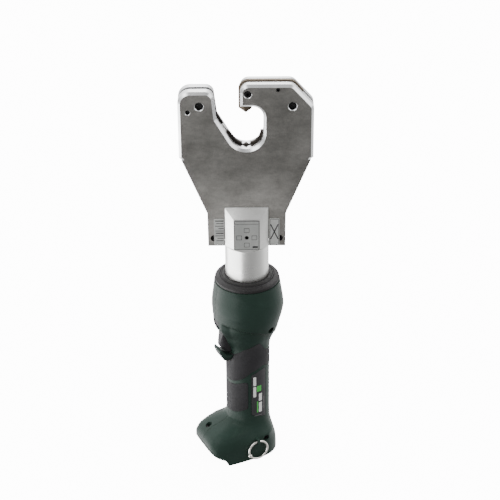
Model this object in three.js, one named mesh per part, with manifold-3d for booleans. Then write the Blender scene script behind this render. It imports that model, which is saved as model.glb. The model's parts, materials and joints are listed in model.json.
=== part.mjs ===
// Battery-powered in-line crimping tool with an open, plate-built head.
// Millimetres, +Z up. The head's broad faces look along -Y and +Y. The handle
// below it is turned about the tool's long axis, because the head swivels.
// Heights are measured from the ground that the foot stands on, and the whole
// tool is then lowered, so that the origin is on the long axis at the battery seat.

import * as THREE from 'three';
import { mergeVertices } from 'three/addons/utils/BufferGeometryUtils.js';
import Module from 'manifold-3d';

const wasm = await Module();
wasm.setup();

// ---------- driving dimensions ----------

const GAP = 0.3; // clearance left between pieces that touch
const HANDLE_TURN = THREE.MathUtils.degToRad(206); // direction of the toe about +Z
const SEAT_HEIGHT = 14; // battery seat above the ground

// head plates
const PLATE_FACE = 12; // outer face of each plate, from the middle plane
const PLATE_INNER = 2.3; // inner face of each plate
const CHAMFER = 2.4;
const POCKET = 6.3; // floor of the pockets that hold the moving parts
const LEG_BOTTOM = 246.2;
const LEG_OUTER = 37.7;
const SHOULDER_LOW = 282.4; // where the sloping shoulders start
const SHOULDER_HIGH = 339.4; // where the chamfered upper edge starts
const HEAD_HALF = 63.9;
const SLOT_HALF = 21.3;
const SLOT_TOP = 289;
const ARM_TOP = 408.5;
const HOOK_TOP = 415.8;
const THROAT_Z = 365.8; // centre of the round part of the throat
const THROAT_R = 16.6;
const MIDDLE_HALF = 2.0; // half thickness of what lies between the plates
const PIN_X = 43.7;
const PIN_Z = 394.4;
const PIN_R = 3.6;
const HOOK_SCREW = [1.8, 406.4];
const DOWEL = [30, 411];
const ARM_SCREW = [-54.5, 388.3];
const LEG_BOLT = [32, 254.7];

// four-point mechanism
const RAM_STROKE = 16;
const LEVER_TURN = 0.4; // radians, over the whole stroke
const ROLLER_ARM = 50; // lever pivot to cam roller
const ROLLER_R = 3;
const DRIVE_ARM = 24.4; // lever pivot to the pin that drives an indenter
const DRIVE_R = 2.4;
const INDENTER_Z = PIN_Z - DRIVE_ARM - 1;
const INDENTER_HALF = 3.5;
const INDENTER_TIP = 19.5;
const GUIDE_R = 13.7; // inner edge of the guide plates
const GUIDE_TOP = INDENTER_Z - INDENTER_HALF - GAP;

// hydraulic cylinder
const TUBE_R = 21.6;
const TUBE_BOTTOM = 178;
const BLOCK_BOTTOM = 244;
const BLOCK_TOP = SLOT_TOP - 0.4;
const BLOCK_HALF = SLOT_HALF - GAP;
const BLOCK_FACE = 21.5; // flat front, from the middle plane
const BLOCK_FACE_HALF = 12.7; // half width of the flat front
const BLOCK_FACE_TOP = 280;
const BORE_R = 16;
const BORE_BOTTOM = 184;
const BORE_TOP = 270;
const ROD_R = 6;
const PISTON_BOTTOM = 187;
const PISTON_TOP = 200;

// handle
const GRIP_R = 22.4;
const WALL = 2.6;
const FOOT_HALF = 30.5;
const TOE = 53;
const HEEL = 28;
const CREASE = 24; // top of the foot's side wall
const BAY_HALF = 26.5;
const RAIL_GAP_HALF = 22;
const RAIL_TOP = 5;
const SEAT_PROUD = 1; // the raised seat stands this far below the bay's ceiling
const COLLAR_R = 32.2;
const COLLAR_EDGE = 205.5;
const COLLAR_TOP = 209.6;
const BODY_TOP = 202.5;

// ---------- materials ----------

const finish = (color, roughness, metalness) =>
  new THREE.MeshStandardMaterial({ color, roughness, metalness });

const materials = {
  plate: finish(0x55534f, 0.45, 1),
  hardened: finish(0x2e2a26, 0.5, 1),
  bright: finish(0xd9dadb, 0.25, 1),
  steel: finish(0xa9abad, 0.3, 1),
  blackSteel: finish(0x1c1c1e, 0.5, 1),
  label: finish(0x9a9c9a, 0.55, 0),
  housing: finish(0x1f3d36, 0.55, 0),
  softGrip: finish(0x37363a, 0.85, 0),
  collar: finish(0x2b2a2d, 0.6, 0),
  trigger: finish(0x3c3b40, 0.5, 0),
  brass: finish(0xb08d3f, 0.35, 1),
  board: finish(0x1d5a32, 0.6, 0),
  rubber: finish(0x151515, 0.9, 0),
};

// ---------- solids ----------

function solidOf(geometry) {
  const bare = geometry.index ? geometry.clone() : geometry;
  bare.deleteAttribute('normal');
  bare.deleteAttribute('uv');
  const merged = mergeVertices(bare, 1e-4);
  return new wasm.Manifold(new wasm.Mesh({
    numProp: 3,
    vertProperties: new Float32Array(merged.attributes.position.array),
    triVerts: new Uint32Array(merged.index.array),
  }));
}

function geometryOf(solid) {
  const mesh = solid.getMesh();
  const geometry = new THREE.BufferGeometry();
  geometry.setAttribute('position', new THREE.BufferAttribute(mesh.vertProperties, 3));
  geometry.setIndex(new THREE.BufferAttribute(mesh.triVerts, 1));
  geometry.computeVertexNormals();
  return geometry;
}

function box(x0, x1, y0, y1, z0, z1) {
  const geometry = new THREE.BoxGeometry(x1 - x0, y1 - y0, z1 - z0);
  geometry.translate((x0 + x1) / 2, (y0 + y1) / 2, (z0 + z1) / 2);
  return solidOf(geometry);
}

// Upright cylinder or cone from z0 to z1.
function rod(r0, r1, z0, z1, sides = 24, x = 0, y = 0) {
  const geometry = new THREE.CylinderGeometry(r1, r0, z1 - z0, sides);
  geometry.rotateX(Math.PI / 2);
  geometry.translate(x, y, (z0 + z1) / 2);
  return solidOf(geometry);
}

// Cylinder along Y from y0 to y1, centred on (x, z).
function crossRod(r, y0, y1, x, z, sides = 16) {
  const geometry = new THREE.CylinderGeometry(r, r, y1 - y0, sides);
  geometry.translate(x, (y0 + y1) / 2, z);
  return solidOf(geometry);
}

// Cone frustum along Y, radius r0 at y0 and r1 at y1.
function crossCone(r0, r1, y0, y1, x, z, sides = 16) {
  const geometry = new THREE.CylinderGeometry(r1, r0, y1 - y0, sides);
  geometry.translate(x, (y0 + y1) / 2, z);
  return solidOf(geometry);
}

// Solid of revolution about Z. The profile is a closed loop of [radius, z].
function turned(profile, sides = 32) {
  const points = [...profile, profile[0]].map(([r, z]) => new THREE.Vector2(r, z));
  const geometry = new THREE.LatheGeometry(points, sides);
  geometry.rotateX(Math.PI / 2);
  const solid = solidOf(geometry);
  return solid.volume() < 0 ? solidOf(flipped(geometry)) : solid;
}

function flipped(geometry) {
  const index = geometry.index.array;
  for (let i = 0; i < index.length; i += 3) {
    [index[i], index[i + 1]] = [index[i + 1], index[i]];
  }
  return geometry;
}

// Closed outline of [x, z, corner radius], with round corners as arcs.
function outline(corners) {
  const shape = new THREE.Shape();
  corners.forEach(([x, z, radius = 0], i) => {
    const [px, pz] = corners[(i + corners.length - 1) % corners.length];
    const [nx, nz] = corners[(i + 1) % corners.length];
    const here = new THREE.Vector2(x, z);
    const back = new THREE.Vector2(px, pz).sub(here).normalize();
    const on = new THREE.Vector2(nx, nz).sub(here).normalize();
    const half = Math.acos(THREE.MathUtils.clamp(back.dot(on), -1, 1)) / 2;
    if (radius === 0) {
      if (i === 0) shape.moveTo(x, z);
      else shape.lineTo(x, z);
      return;
    }
    const reach = radius / Math.tan(half);
    const start = here.clone().addScaledVector(back, reach);
    const end = here.clone().addScaledVector(on, reach);
    const toCentre = back.clone().add(on).normalize();
    const centre = here.clone().addScaledVector(toCentre, radius / Math.sin(half));
    const from = Math.atan2(start.y - centre.y, start.x - centre.x);
    const to = Math.atan2(end.y - centre.y, end.x - centre.x);
    const clockwise = back.x * on.y - back.y * on.x > 0;
    if (i === 0) shape.moveTo(start.x, start.y);
    else shape.lineTo(start.x, start.y);
    shape.absarc(centre.x, centre.y, radius, from, to, clockwise);
  });
  shape.closePath();
  return shape;
}

// Outline in X and Z, extruded along Y from y0 to y1.
function slab(shape, y0, y1, options = {}) {
  const geometry = new THREE.ExtrudeGeometry(shape, {
    depth: y1 - y0,
    bevelEnabled: false,
    curveSegments: 4,
    ...options,
  });
  geometry.rotateX(Math.PI / 2);
  geometry.translate(0, y1, 0);
  return solidOf(geometry);
}

const outlineSlab = (corners, y0, y1) => slab(outline(corners), y0, y1);

function mirrored(corners, side) {
  const list = corners.map(([x, z, r]) => [side * x, z, r]);
  return side < 0 ? list.reverse() : list;
}

// Stadium from a to b, used for slots.
function stadium(a, b, radius, y0, y1) {
  const along = new THREE.Vector2(b[0] - a[0], b[1] - a[1]);
  const side = new THREE.Vector2(-along.y, along.x).normalize().multiplyScalar(radius);
  const bar = outlineSlab([
    [a[0] - side.x, a[1] - side.y],
    [b[0] - side.x, b[1] - side.y],
    [b[0] + side.x, b[1] + side.y],
    [a[0] + side.x, a[1] + side.y],
  ], y0, y1);
  const ends = [a, b].map(([x, z]) => crossRod(radius, y0, y1, x, z));
  return bar.add(ends[0]).add(ends[1]);
}

// Point on the throat's circle, or on a circle about its centre.
function aroundThroat(radius, degrees) {
  const angle = THREE.MathUtils.degToRad(degrees);
  return [radius * Math.cos(angle), THROAT_Z + radius * Math.sin(angle)];
}

// ---------- scene graph ----------

const tool = new THREE.Group();
const head = new THREE.Group();
const handle = new THREE.Group();
tool.add(head, handle);
tool.position.z = -SEAT_HEIGHT;
handle.rotation.z = HANDLE_TURN;

function place(group, name, solid, material) {
  const mesh = new THREE.Mesh(geometryOf(solid), material);
  mesh.name = name;
  group.add(mesh);
  return mesh;
}

// ---------- head plates ----------

const plateCorners = [
  [-LEG_OUTER, LEG_BOTTOM],
  [-SLOT_HALF, LEG_BOTTOM],
  [-SLOT_HALF, SLOT_TOP],
  [SLOT_HALF, SLOT_TOP],
  [SLOT_HALF, LEG_BOTTOM],
  [LEG_OUTER, LEG_BOTTOM],
  [LEG_OUTER + 0.4, SHOULDER_LOW, 5],
  [HEAD_HALF - CHAMFER, SHOULDER_HIGH],
  [HEAD_HALF, SHOULDER_HIGH + 1.6],
  [HEAD_HALF, 394, 9],
  [44.2, HOOK_TOP, 9],
  [-5.4, HOOK_TOP, 8.4],
  [-5.4, 393.6],
  [THROAT_R, 393.6, 10.6],
  [THROAT_R, 304.5, THROAT_R],
  [-27.9, 381.4, 6],
  [-30.6, ARM_TOP, 8],
  [-HEAD_HALF, ARM_TOP, 12],
  [-HEAD_HALF, SHOULDER_HIGH + 1.6],
  [-HEAD_HALF + CHAMFER, SHOULDER_HIGH],
  [-LEG_OUTER - 0.4, SHOULDER_LOW, 5],
];

// Below the shoulders the edges are square, so a plain slab fills the chamfer back.
const squareCorners = [
  ...plateCorners.slice(0, 7),
  [HEAD_HALF - CHAMFER, SHOULDER_HIGH],
  [-HEAD_HALF + CHAMFER, SHOULDER_HIGH],
  plateCorners[plateCorners.length - 1],
];

// One plate with its outer face at -PLATE_FACE; the rear one is its mirror image.
function plateBlank() {
  const chamfered = slab(outline(plateCorners), -PLATE_FACE + CHAMFER, 0, {
    bevelEnabled: true,
    bevelThickness: CHAMFER,
    bevelSize: CHAMFER,
    bevelOffset: -CHAMFER,
    bevelSegments: 1,
  });
  const middle = box(-80, 80, -PLATE_INNER, 20, 200, 450);
  return chamfered
    .add(slab(outline(squareCorners), -PLATE_FACE, -PLATE_INNER))
    .subtract(middle);
}

function plateHoles() {
  const pins = [-1, 1].map((side) =>
    crossRod(PIN_R + GAP, -13, 0, side * PIN_X, PIN_Z)
      .add(crossCone(4.9, 3.8, -PLATE_FACE - 0.1, -PLATE_FACE + 1, side * PIN_X, PIN_Z)));
  const bolts = [-1, 1].map((side) => crossRod(3.3, -13, 0, side * LEG_BOLT[0], LEG_BOLT[1]));
  return [
    ...pins,
    ...bolts,
    crossRod(3.5, -13, -7.5, ...HOOK_SCREW),
    crossRod(1.9, -8, 0, ...HOOK_SCREW),
    crossRod(2, -13, 0, ...DOWEL, 16),
    crossRod(2.2, -13, 0, ...ARM_SCREW, 16),
    rod(ROD_R + 0.5, ROD_R + 0.5, SLOT_TOP - 1, SLOT_TOP + RAM_STROKE + 4),
  ];
}

const cut = (solid, tools) => tools.reduce((left, tool) => left.subtract(tool), solid);
const reflectY = (solid) => solid.mirror([0, 1, 0]);

// Outline of the pocket that the ram plate rises in.
const ramPocket = [
  [-11, SLOT_TOP - 1],
  [11, SLOT_TOP - 1],
  [11, 317],
  [31, 321.5],
  [53, 335],
  [53, 369.5],
  [37, 369.5],
  [19, 357],
  [15.5, 345.4],
  [-15.5, 345.4],
  [-19, 357],
  [-37, 369.5],
  [-53, 369.5],
  [-53, 335],
  [-31, 321.5],
  [-11, 317],
];

const leverPocket = [
  [16, 336.5],
  [52, 336.5],
  [52, 402.5],
  [37, 402.5],
  [37, 396],
  [16, 346],
];

const frontPlate = cut(plateBlank(), [
  ...plateHoles(),
  outlineSlab(ramPocket, -POCKET, 0),
]);
place(head, 'head_plate_front', frontPlate, materials.plate);

const rearPlate = cut(reflectY(plateBlank()), [
  ...plateHoles().map(reflectY),
  outlineSlab(leverPocket, 0, POCKET),
  outlineSlab(mirrored(leverPocket, -1), 0, POCKET),
]);
place(head, 'head_plate_rear', rearPlate, materials.plate);

// ---------- pieces between the plates ----------

const NOSE_Z = 384;
const PROUD = 1.1; // how far the anvil plate stands out of the head plates

const anvilCorners = [
  [0, NOSE_Z],
  [5.6, NOSE_Z + 4.4],
  [6, 394.6],
  [14, 391.7],
  [17.6, 385],
  [17.6, 381],
  [51, 381],
  [51, 400.5],
  [54.5, 405.6],
  [44.6, HOOK_TOP + PROUD, 8],
  [-6.9, HOOK_TOP + PROUD, 9.5],
  [-6.9, NOSE_Z + 5.3],
];
const anvil = cut(outlineSlab(anvilCorners, -MIDDLE_HALF, MIDDLE_HALF), [
  crossRod(PIN_R + GAP, -3, 3, PIN_X, PIN_Z),
  crossRod(1.9, -3, 3, ...HOOK_SCREW),
  crossRod(2, -3, 3, ...DOWEL, 16),
]);
place(head, 'anvil_plate', anvil, materials.hardened);

const CHANNEL = INDENTER_HALF + GAP;

function guideArc(from, to, steps) {
  const list = [];
  for (let i = 0; i <= steps; i += 1) {
    list.push(aroundThroat(GUIDE_R, from + ((to - from) * i) / steps));
  }
  return list;
}

const channelAngle = THREE.MathUtils.radToDeg(Math.asin(CHANNEL / GUIDE_R));
const guideRight = outlineSlab([
  [CHANNEL, 346.5],
  [12, 346.5],
  [19, 353],
  [26, 360],
  [26, GUIDE_TOP],
  ...guideArc(-2, -90 + channelAngle, 10),
], -MIDDLE_HALF, MIDDLE_HALF);
place(head, 'guide_plate_right', guideRight, materials.hardened);

const guideLeft = outlineSlab([
  [-CHANNEL, 346.5],
  ...guideArc(-90 - channelAngle, -149, 7),
  [-16.4, GUIDE_TOP],
  [-26, GUIDE_TOP],
  [-26, 360],
  [-19, 353],
  [-12, 346.5],
], -MIDDLE_HALF, MIDDLE_HALF);
place(head, 'guide_plate_left', guideLeft, materials.hardened);

const UPPER_GUIDE = INDENTER_Z + INDENTER_HALF + GAP;
const guideUpper = outlineSlab([
  [-21, UPPER_GUIDE],
  [-27, 382.5, 4],
  [-29.6, 403],
  [-38.5, 403],
  [-38.5, 379],
  [-27.5, 379],
  [-27.5, UPPER_GUIDE],
], -MIDDLE_HALF, MIDDLE_HALF);
place(head, 'guide_plate_upper', guideUpper, materials.hardened);

for (const [name, side] of [['left', -1], ['right', 1]]) {
  const pin = crossRod(PIN_R, -9, 9, side * PIN_X, PIN_Z);
  place(head, `pivot_pin_${name}`, pin, materials.blackSteel);
  const bolt = crossRod(3, -10.8, 10.8, side * LEG_BOLT[0], LEG_BOLT[1])
    .subtract(crossRod(1.5, -11, -8, side * LEG_BOLT[0], LEG_BOLT[1], 6));
  place(head, `leg_bolt_${name}`, bolt, materials.blackSteel);
}

const hookScrew = crossRod(3.2, -11.6, -7.8, ...HOOK_SCREW)
  .add(crossRod(1.6, -8.5, 7, ...HOOK_SCREW, 16))
  .subtract(crossRod(1.6, -12, -9.4, ...HOOK_SCREW, 6));
place(head, 'hook_screw', hookScrew, materials.steel);
place(head, 'hook_dowel', crossRod(1.7, -9.5, 9.5, ...DOWEL, 16), materials.blackSteel);
place(head, 'arm_dowel', crossRod(1.9, -9.5, 9.5, ...ARM_SCREW, 16), materials.blackSteel);

// ---------- levers and side indenters ----------

const LEVER_NEAR = 2.6;
const LEVER_FAR = 6;
const rollerAt = [PIN_X, PIN_Z - ROLLER_ARM];
const driveAt = [PIN_X, PIN_Z - DRIVE_ARM];

function lever(side) {
  const arm = outlineSlab(mirrored([
    [PIN_X - 4.5, PIN_Z],
    [PIN_X - 4.2, rollerAt[1]],
    [PIN_X + 4.2, rollerAt[1]],
    [PIN_X + 4.5, PIN_Z],
  ], side), LEVER_NEAR, LEVER_FAR);
  return arm
    .add(crossRod(6.6, LEVER_NEAR, LEVER_FAR, side * PIN_X, PIN_Z))
    .add(crossRod(4.6, LEVER_NEAR, LEVER_FAR, side * rollerAt[0], rollerAt[1]))
    .add(crossRod(DRIVE_R, -1.7, LEVER_NEAR + 1, side * driveAt[0], driveAt[1], 16))
    .add(crossRod(ROLLER_R, -5.8, LEVER_NEAR + 1, side * rollerAt[0], rollerAt[1], 20))
    .subtract(crossRod(PIN_R + GAP, 0, 8, side * PIN_X, PIN_Z));
}

function sideIndenter(side) {
  const body = outlineSlab(mirrored([
    [INDENTER_TIP, INDENTER_Z],
    [INDENTER_TIP + 2.6, INDENTER_Z - INDENTER_HALF],
    [38, INDENTER_Z - INDENTER_HALF],
    [38, 364],
    [49, 364],
    [49, 377],
    [38, 377],
    [38, INDENTER_Z + INDENTER_HALF],
    [INDENTER_TIP + 2.6, INDENTER_Z + INDENTER_HALF],
  ], side), -MIDDLE_HALF, MIDDLE_HALF);
  const low = [side * PIN_X, driveAt[1] - 0.3];
  const high = [side * PIN_X, driveAt[1] + 2.1];
  return body.subtract(stadium(low, high, DRIVE_R + 0.5, -3, 3));
}

const leftLever = new THREE.Group();
const rightLever = new THREE.Group();
head.add(leftLever, rightLever);
for (const [name, side, group] of [['left', -1, leftLever], ['right', 1, rightLever]]) {
  place(group, `${name}_lever`, lever(side), materials.steel);
  place(head, `${name}_indenter`, sideIndenter(side), materials.bright);
}

// ---------- ram ----------

const ram = new THREE.Group();
head.add(ram);

// In the ram plate's own frame a roller travels inwards and down its cam slot.
const rollerIn = ROLLER_ARM * Math.sin(LEVER_TURN);
const rollerDown = RAM_STROKE - ROLLER_ARM * (1 - Math.cos(LEVER_TURN));
const SLOT_R = ROLLER_R + 1.4;

const ramPlateCorners = [
  [-10, SLOT_TOP + 3],
  [10, SLOT_TOP + 3],
  [10, 318],
  [30, 322.5],
  [52, 336],
  [52, 353],
  [37, 353],
  [20, 340.5],
  [17.8, 333],
  [15.4, 328.8],
  [-15.4, 328.8],
  [-17.8, 333],
  [-20, 340.5],
  [-37, 353],
  [-52, 353],
  [-52, 336],
  [-30, 322.5],
  [-10, 318],
];
const camSlots = [-1, 1].map((side) => stadium(
  [side * rollerAt[0], rollerAt[1]],
  [side * (rollerAt[0] - rollerIn), rollerAt[1] - rollerDown],
  SLOT_R,
  -8,
  0,
));
const ramPlate = cut(outlineSlab(ramPlateCorners, -6, -2.6), camSlots);
place(ram, 'ram_plate', ramPlate, materials.steel);

const ramIndenter = outlineSlab([
  [-INDENTER_HALF, SLOT_TOP + 14],
  [INDENTER_HALF, SLOT_TOP + 14],
  [INDENTER_HALF, 349.6],
  [0, 352.2],
  [-INDENTER_HALF, 349.6],
], -MIDDLE_HALF, MIDDLE_HALF);
place(ram, 'ram_indenter', ramIndenter, materials.bright);

const SEAL_GROOVE = [192, 195];
const piston = rod(BORE_R - 0.3, BORE_R - 0.3, PISTON_BOTTOM, PISTON_TOP)
  .add(rod(ROD_R, ROD_R, PISTON_TOP - 1, SLOT_TOP + 2.6))
  .subtract(turned([[13.6, SEAL_GROOVE[0]], [18, SEAL_GROOVE[0]], [18, SEAL_GROOVE[1]],
    [13.6, SEAL_GROOVE[1]]], 24));
place(ram, 'ram_piston', piston, materials.bright);

const pistonSeal = turned([
  [13.9, SEAL_GROOVE[0] + GAP],
  [15.7, SEAL_GROOVE[0] + GAP],
  [15.7, SEAL_GROOVE[1] - GAP],
  [13.9, SEAL_GROOVE[1] - GAP],
], 24);
place(ram, 'piston_seal', pistonSeal, materials.rubber);

// ---------- cylinder ----------

function octagon(half, face, faceHalf, z0, z1) {
  const shape = new THREE.Shape();
  const side = face - (half - faceHalf);
  const corners = [
    [-faceHalf, -face], [faceHalf, -face], [half, -side], [half, side],
    [faceHalf, face], [-faceHalf, face], [-half, side], [-half, -side],
  ];
  corners.forEach(([x, y], i) => (i ? shape.lineTo(x, y) : shape.moveTo(x, y)));
  const geometry = new THREE.ExtrudeGeometry(shape, { depth: z1 - z0, bevelEnabled: false });
  geometry.translate(0, 0, z0);
  return solidOf(geometry);
}

// Wedge that takes the bevel off the block's top edge, in front or behind.
function topBevel(side) {
  const shape = new THREE.Shape();
  shape.moveTo(side * (BLOCK_FACE + 1), BLOCK_FACE_TOP - 1);
  shape.lineTo(side * (BLOCK_FACE + 1), BLOCK_TOP + 3);
  shape.lineTo(side * (PLATE_FACE - 3), BLOCK_TOP + 3);
  const geometry = new THREE.ExtrudeGeometry(shape, { depth: 60, bevelEnabled: false });
  geometry.rotateX(Math.PI / 2);
  geometry.rotateZ(Math.PI / 2);
  geometry.translate(-30, 0, 0);
  return solidOf(geometry);
}

const cylinder = octagon(BLOCK_HALF, BLOCK_FACE, BLOCK_FACE_HALF, BLOCK_BOTTOM + 2, BLOCK_TOP)
  .subtract(topBevel(-1))
  .subtract(topBevel(1))
  .add(box(-36.5, 36.5, -MIDDLE_HALF, MIDDLE_HALF, 248, 286))
  .add(turned([[0, TUBE_BOTTOM], [TUBE_R, TUBE_BOTTOM], [TUBE_R, BLOCK_BOTTOM + 2],
    [0, BLOCK_BOTTOM + 2]]))
  .subtract(rod(BORE_R, BORE_R, BORE_BOTTOM, BORE_TOP, 32))
  .subtract(rod(ROD_R + GAP, ROD_R + GAP, BORE_TOP - 1, BLOCK_TOP + 1, 32))
  .subtract(rod(2, 2, TUBE_BOTTOM - 1, BORE_BOTTOM + 1, 12))
  .subtract(turned([[20, 186], [22, 186], [22, 188.4], [20, 188.4]]))
  .subtract(crossRod(3.3, -4, 4, LEG_BOLT[0], LEG_BOLT[1]))
  .subtract(crossRod(3.3, -4, 4, -LEG_BOLT[0], LEG_BOLT[1]));
place(head, 'cylinder', cylinder, materials.bright);

const swivelClip = turned([[20.3, 186.3], [24.5, 186.3], [24.5, 188.1], [20.3, 188.1]], 24);
place(head, 'swivel_clip', swivelClip, materials.steel);

// Return spring round the rod: round wire wound in a helix.
class Helix extends THREE.Curve {
  constructor(radius, bottom, top, turns) {
    super();
    Object.assign(this, { radius, bottom, top, turns });
  }

  getPoint(t, target = new THREE.Vector3()) {
    const angle = 2 * Math.PI * this.turns * t;
    const z = this.bottom + (this.top - this.bottom) * t;
    return target.set(this.radius * Math.cos(angle), this.radius * Math.sin(angle), z);
  }
}

function wire(curve, radius, sides, steps) {
  const section = new THREE.Shape();
  section.absarc(0, 0, radius, 0, 2 * Math.PI, false);
  const geometry = new THREE.ExtrudeGeometry(section, {
    steps,
    curveSegments: sides / 2,
    bevelEnabled: false,
    extrudePath: curve,
  });
  return solidOf(geometry);
}

const SPRING_WIRE = 1.4;
const returnSpring = wire(
  new Helix(11, PISTON_TOP + SPRING_WIRE + GAP, BORE_TOP - SPRING_WIRE - GAP, 5),
  SPRING_WIRE,
  6,
  60,
);
place(head, 'return_spring', returnSpring, materials.steel);

// ---------- label on the block and legs ----------

const LABEL = 0.5;
const LABEL_LOW = 246.8;
const frontLabel = box(-BLOCK_FACE_HALF + 0.2, BLOCK_FACE_HALF - 0.2,
  -BLOCK_FACE - GAP - LABEL, -BLOCK_FACE - GAP, 247.2, BLOCK_FACE_TOP - 0.6);
place(head, 'label_front', frontLabel, materials.label);
for (const [name, side] of [['left', -1], ['right', 1]]) {
  const x = [side * 22, side * 31.8].sort((a, b) => a - b);
  const label = box(x[0], x[1], -PLATE_FACE - GAP - LABEL, -PLATE_FACE - GAP, LABEL_LOW, 276.6);
  place(head, `label_${name}`, label, materials.label);
}

// ---------- handle: outer form ----------

// The handle's own frame: +X towards the toe and trigger, +Y to its left side.
// Each level gives the height, the body radius and how much of the foot's plan it takes
// towards the toe, at the sides and towards the heel.
const levels = [
  [0, GRIP_R, 1, 1, 1],
  [6, GRIP_R, 1, 1, 1],
  [14, GRIP_R, 1, 1, 0.93],
  [CREASE, GRIP_R, 1, 1, 0.5],
  [26.5, GRIP_R, 0.96, 0.84, 0.4],
  [30, GRIP_R, 0.87, 0.6, 0.24],
  [34, GRIP_R, 0.66, 0.38, 0.12],
  [36.5, GRIP_R, 0.32, 0.28, 0.07],
  [38, GRIP_R, 0.14, 0.21, 0.05],
  [43, GRIP_R, 0.03, 0.08, 0.01],
  [50, GRIP_R, 0, 0, 0],
  [124, GRIP_R, 0, 0, 0],
  [131, 23.4, 0, 0, 0],
  [136, 25.8, 0, 0, 0],
  [141, 28.3, 0, 0, 0],
  [150, 31.2, 0, 0, 0],
  [156, 32.7, 0, 0, 0],
  [165, 35, 0, 0, 0],
  [174, 36, 0, 0, 0],
  [182, 35.6, 0, 0, 0],
  [192, 34.2, 0, 0, 0],
  [BODY_TOP, 32.9, 0, 0, 0],
];

const superellipse = (x, y, a, b, power) =>
  (Math.abs(x / a) ** power + Math.abs(y / b) ** power) ** (-1 / power);

const smooth = (t) => t * t * (3 - 2 * t);

// The toe is nearly square in plan and the heel is round.
function footRadius(angle) {
  const x = Math.cos(angle);
  const y = Math.sin(angle);
  return x > 0 ? superellipse(x, y, TOE, FOOT_HALF, 5) : superellipse(x, y, HEEL, FOOT_HALF, 2.3);
}

const degreesRound = (angle) => Math.abs(THREE.MathUtils.radToDeg(angle));

// One share of the foot's plan out of the shares for the toe, the sides and the heel.
function shareAt(angle, toe, side, heel) {
  const degrees = degreesRound(angle);
  const toeward = THREE.MathUtils.clamp((75 - degrees) / 30, 0, 1);
  const heelward = THREE.MathUtils.clamp((degrees - 110) / 35, 0, 1);
  return toe * toeward + heel * heelward + side * (1 - toeward - heelward);
}

// How far the crease drops below its level, by degrees round from the toe.
// The drop fades out towards DROP_TOP.
const DROP_TOP = 38;
const creaseDrop = [
  [0, 3],
  [20, 4.2],
  [30, 7.3],
  [38, 7.9],
  [43, 5.3],
  [57, 2.3],
  [72, 0],
  [90, -1.6],
  [109, -2.8],
  [119, -2.2],
  [150, 0],
  [180, 0],
];

function dropAt(angle) {
  const degrees = degreesRound(angle);
  const i = Math.max(1, creaseDrop.findIndex((entry) => entry[0] >= degrees - 1e-6));
  const [a0, d0] = creaseDrop[i - 1];
  const [a1, d1] = creaseDrop[i];
  return d0 + ((d1 - d0) * (degrees - a0)) / (a1 - a0);
}

// Brow above the trigger: the bulb stays wide further down on the trigger side.
function browRadius(angle, z, radius) {
  const facing = Math.max(0, Math.cos(angle));
  if (z < 143 || z > 174) return radius;
  const lift = smooth(Math.min(1, (z - 143) / 14));
  return radius + lift * facing * Math.max(0, 35.4 - radius) * 0.8;
}

// Handle form, made smaller all over by inset, from z0 up to the top.
function handleForm(inset, bottom, top, sides = 36) {
  const inner = levels.filter(([z]) => z > bottom && z < top);
  const heights = [bottom, ...inner.map(([z]) => z), top];
  const at = (z) => {
    const i = Math.max(1, levels.findIndex((level) => level[0] >= Math.min(z, BODY_TOP)));
    const lower = levels[i - 1];
    const upper = levels[i];
    const t = THREE.MathUtils.clamp((z - lower[0]) / (upper[0] - lower[0]), 0, 1);
    return lower.slice(1).map((value, k) => THREE.MathUtils.lerp(value, upper[k + 1], t));
  };
  const profile = [new THREE.Vector2(0, bottom), ...heights.map((z) => new THREE.Vector2(1, z)),
    new THREE.Vector2(0, top)];
  const geometry = new THREE.LatheGeometry(profile, sides);
  geometry.rotateX(Math.PI / 2);
  const position = geometry.attributes.position;
  for (let i = 0; i < position.count; i += 1) {
    const x = position.getX(i);
    const y = position.getY(i);
    const z = position.getZ(i);
    if (Math.hypot(x, y) < 0.5) continue;
    const angle = Math.atan2(y, x);
    const [radius, ...shares] = at(z);
    const body = browRadius(angle, z, radius);
    const fade = z < CREASE ? 0 : Math.max(0, (DROP_TOP - z) / (DROP_TOP - CREASE));
    const drop = fade * dropAt(angle);
    const r = body + (footRadius(angle) - body) * shareAt(angle, ...shares) - inset;
    position.setXYZ(i, r * Math.cos(angle), r * Math.sin(angle), z - drop);
  }
  const solid = solidOf(geometry);
  return solid.volume() < 0 ? solidOf(flipped(geometry)) : solid;
}

// Side outline in the handle's X and Z, extruded across it.
const across = (corners, half) => outlineSlab(corners, -half, half);

// Underside of the toe: the rails stop and the front wall rises to the tip.
const toeCut = across([
  [36, -1], [39.4, 6.5], [45.5, 9.4], [50, 12], [53, 15], [57.5, 20], [70, 20], [70, -1],
], 40);

// Outline in Y and Z, extruded along X from x0 to x1.
function lengthwise(corners, x0, x1) {
  return outlineSlab(corners, -x1, -x0).rotate([0, 0, 90]);
}

// Finger guard that curls up round the lower end of the trigger.
const guardLip = across([
  [20.6, 110.6],
  [24, 111.8, 4],
  [31, 118, 7],
  [36, 132.4, 1],
  [33.7, 133.6, 0.6],
  [31, 127, 4],
  [26.8, 122.8, 4],
  [20.6, 121],
], 12).intersect(lengthwise([
  [-9.2, 140],
  [-9.2, 120.4, 5],
  [-5.6, 114, 4],
  [0, 111, 8],
  [5.6, 114, 4],
  [9.2, 120.4, 5],
  [9.2, 140],
], 18, 40));

const TRIGGER_HALF = 6.8;
const BUTTON_HALF = 5.2;
const triggerOpening = box(17, 40, -TRIGGER_HALF - 0.4, TRIGGER_HALF + 0.4, 123, 151.4);
const buttonOpening = box(25, 40, -BUTTON_HALF - 0.4, BUTTON_HALF + 0.4, 153, 162.4);

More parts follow.
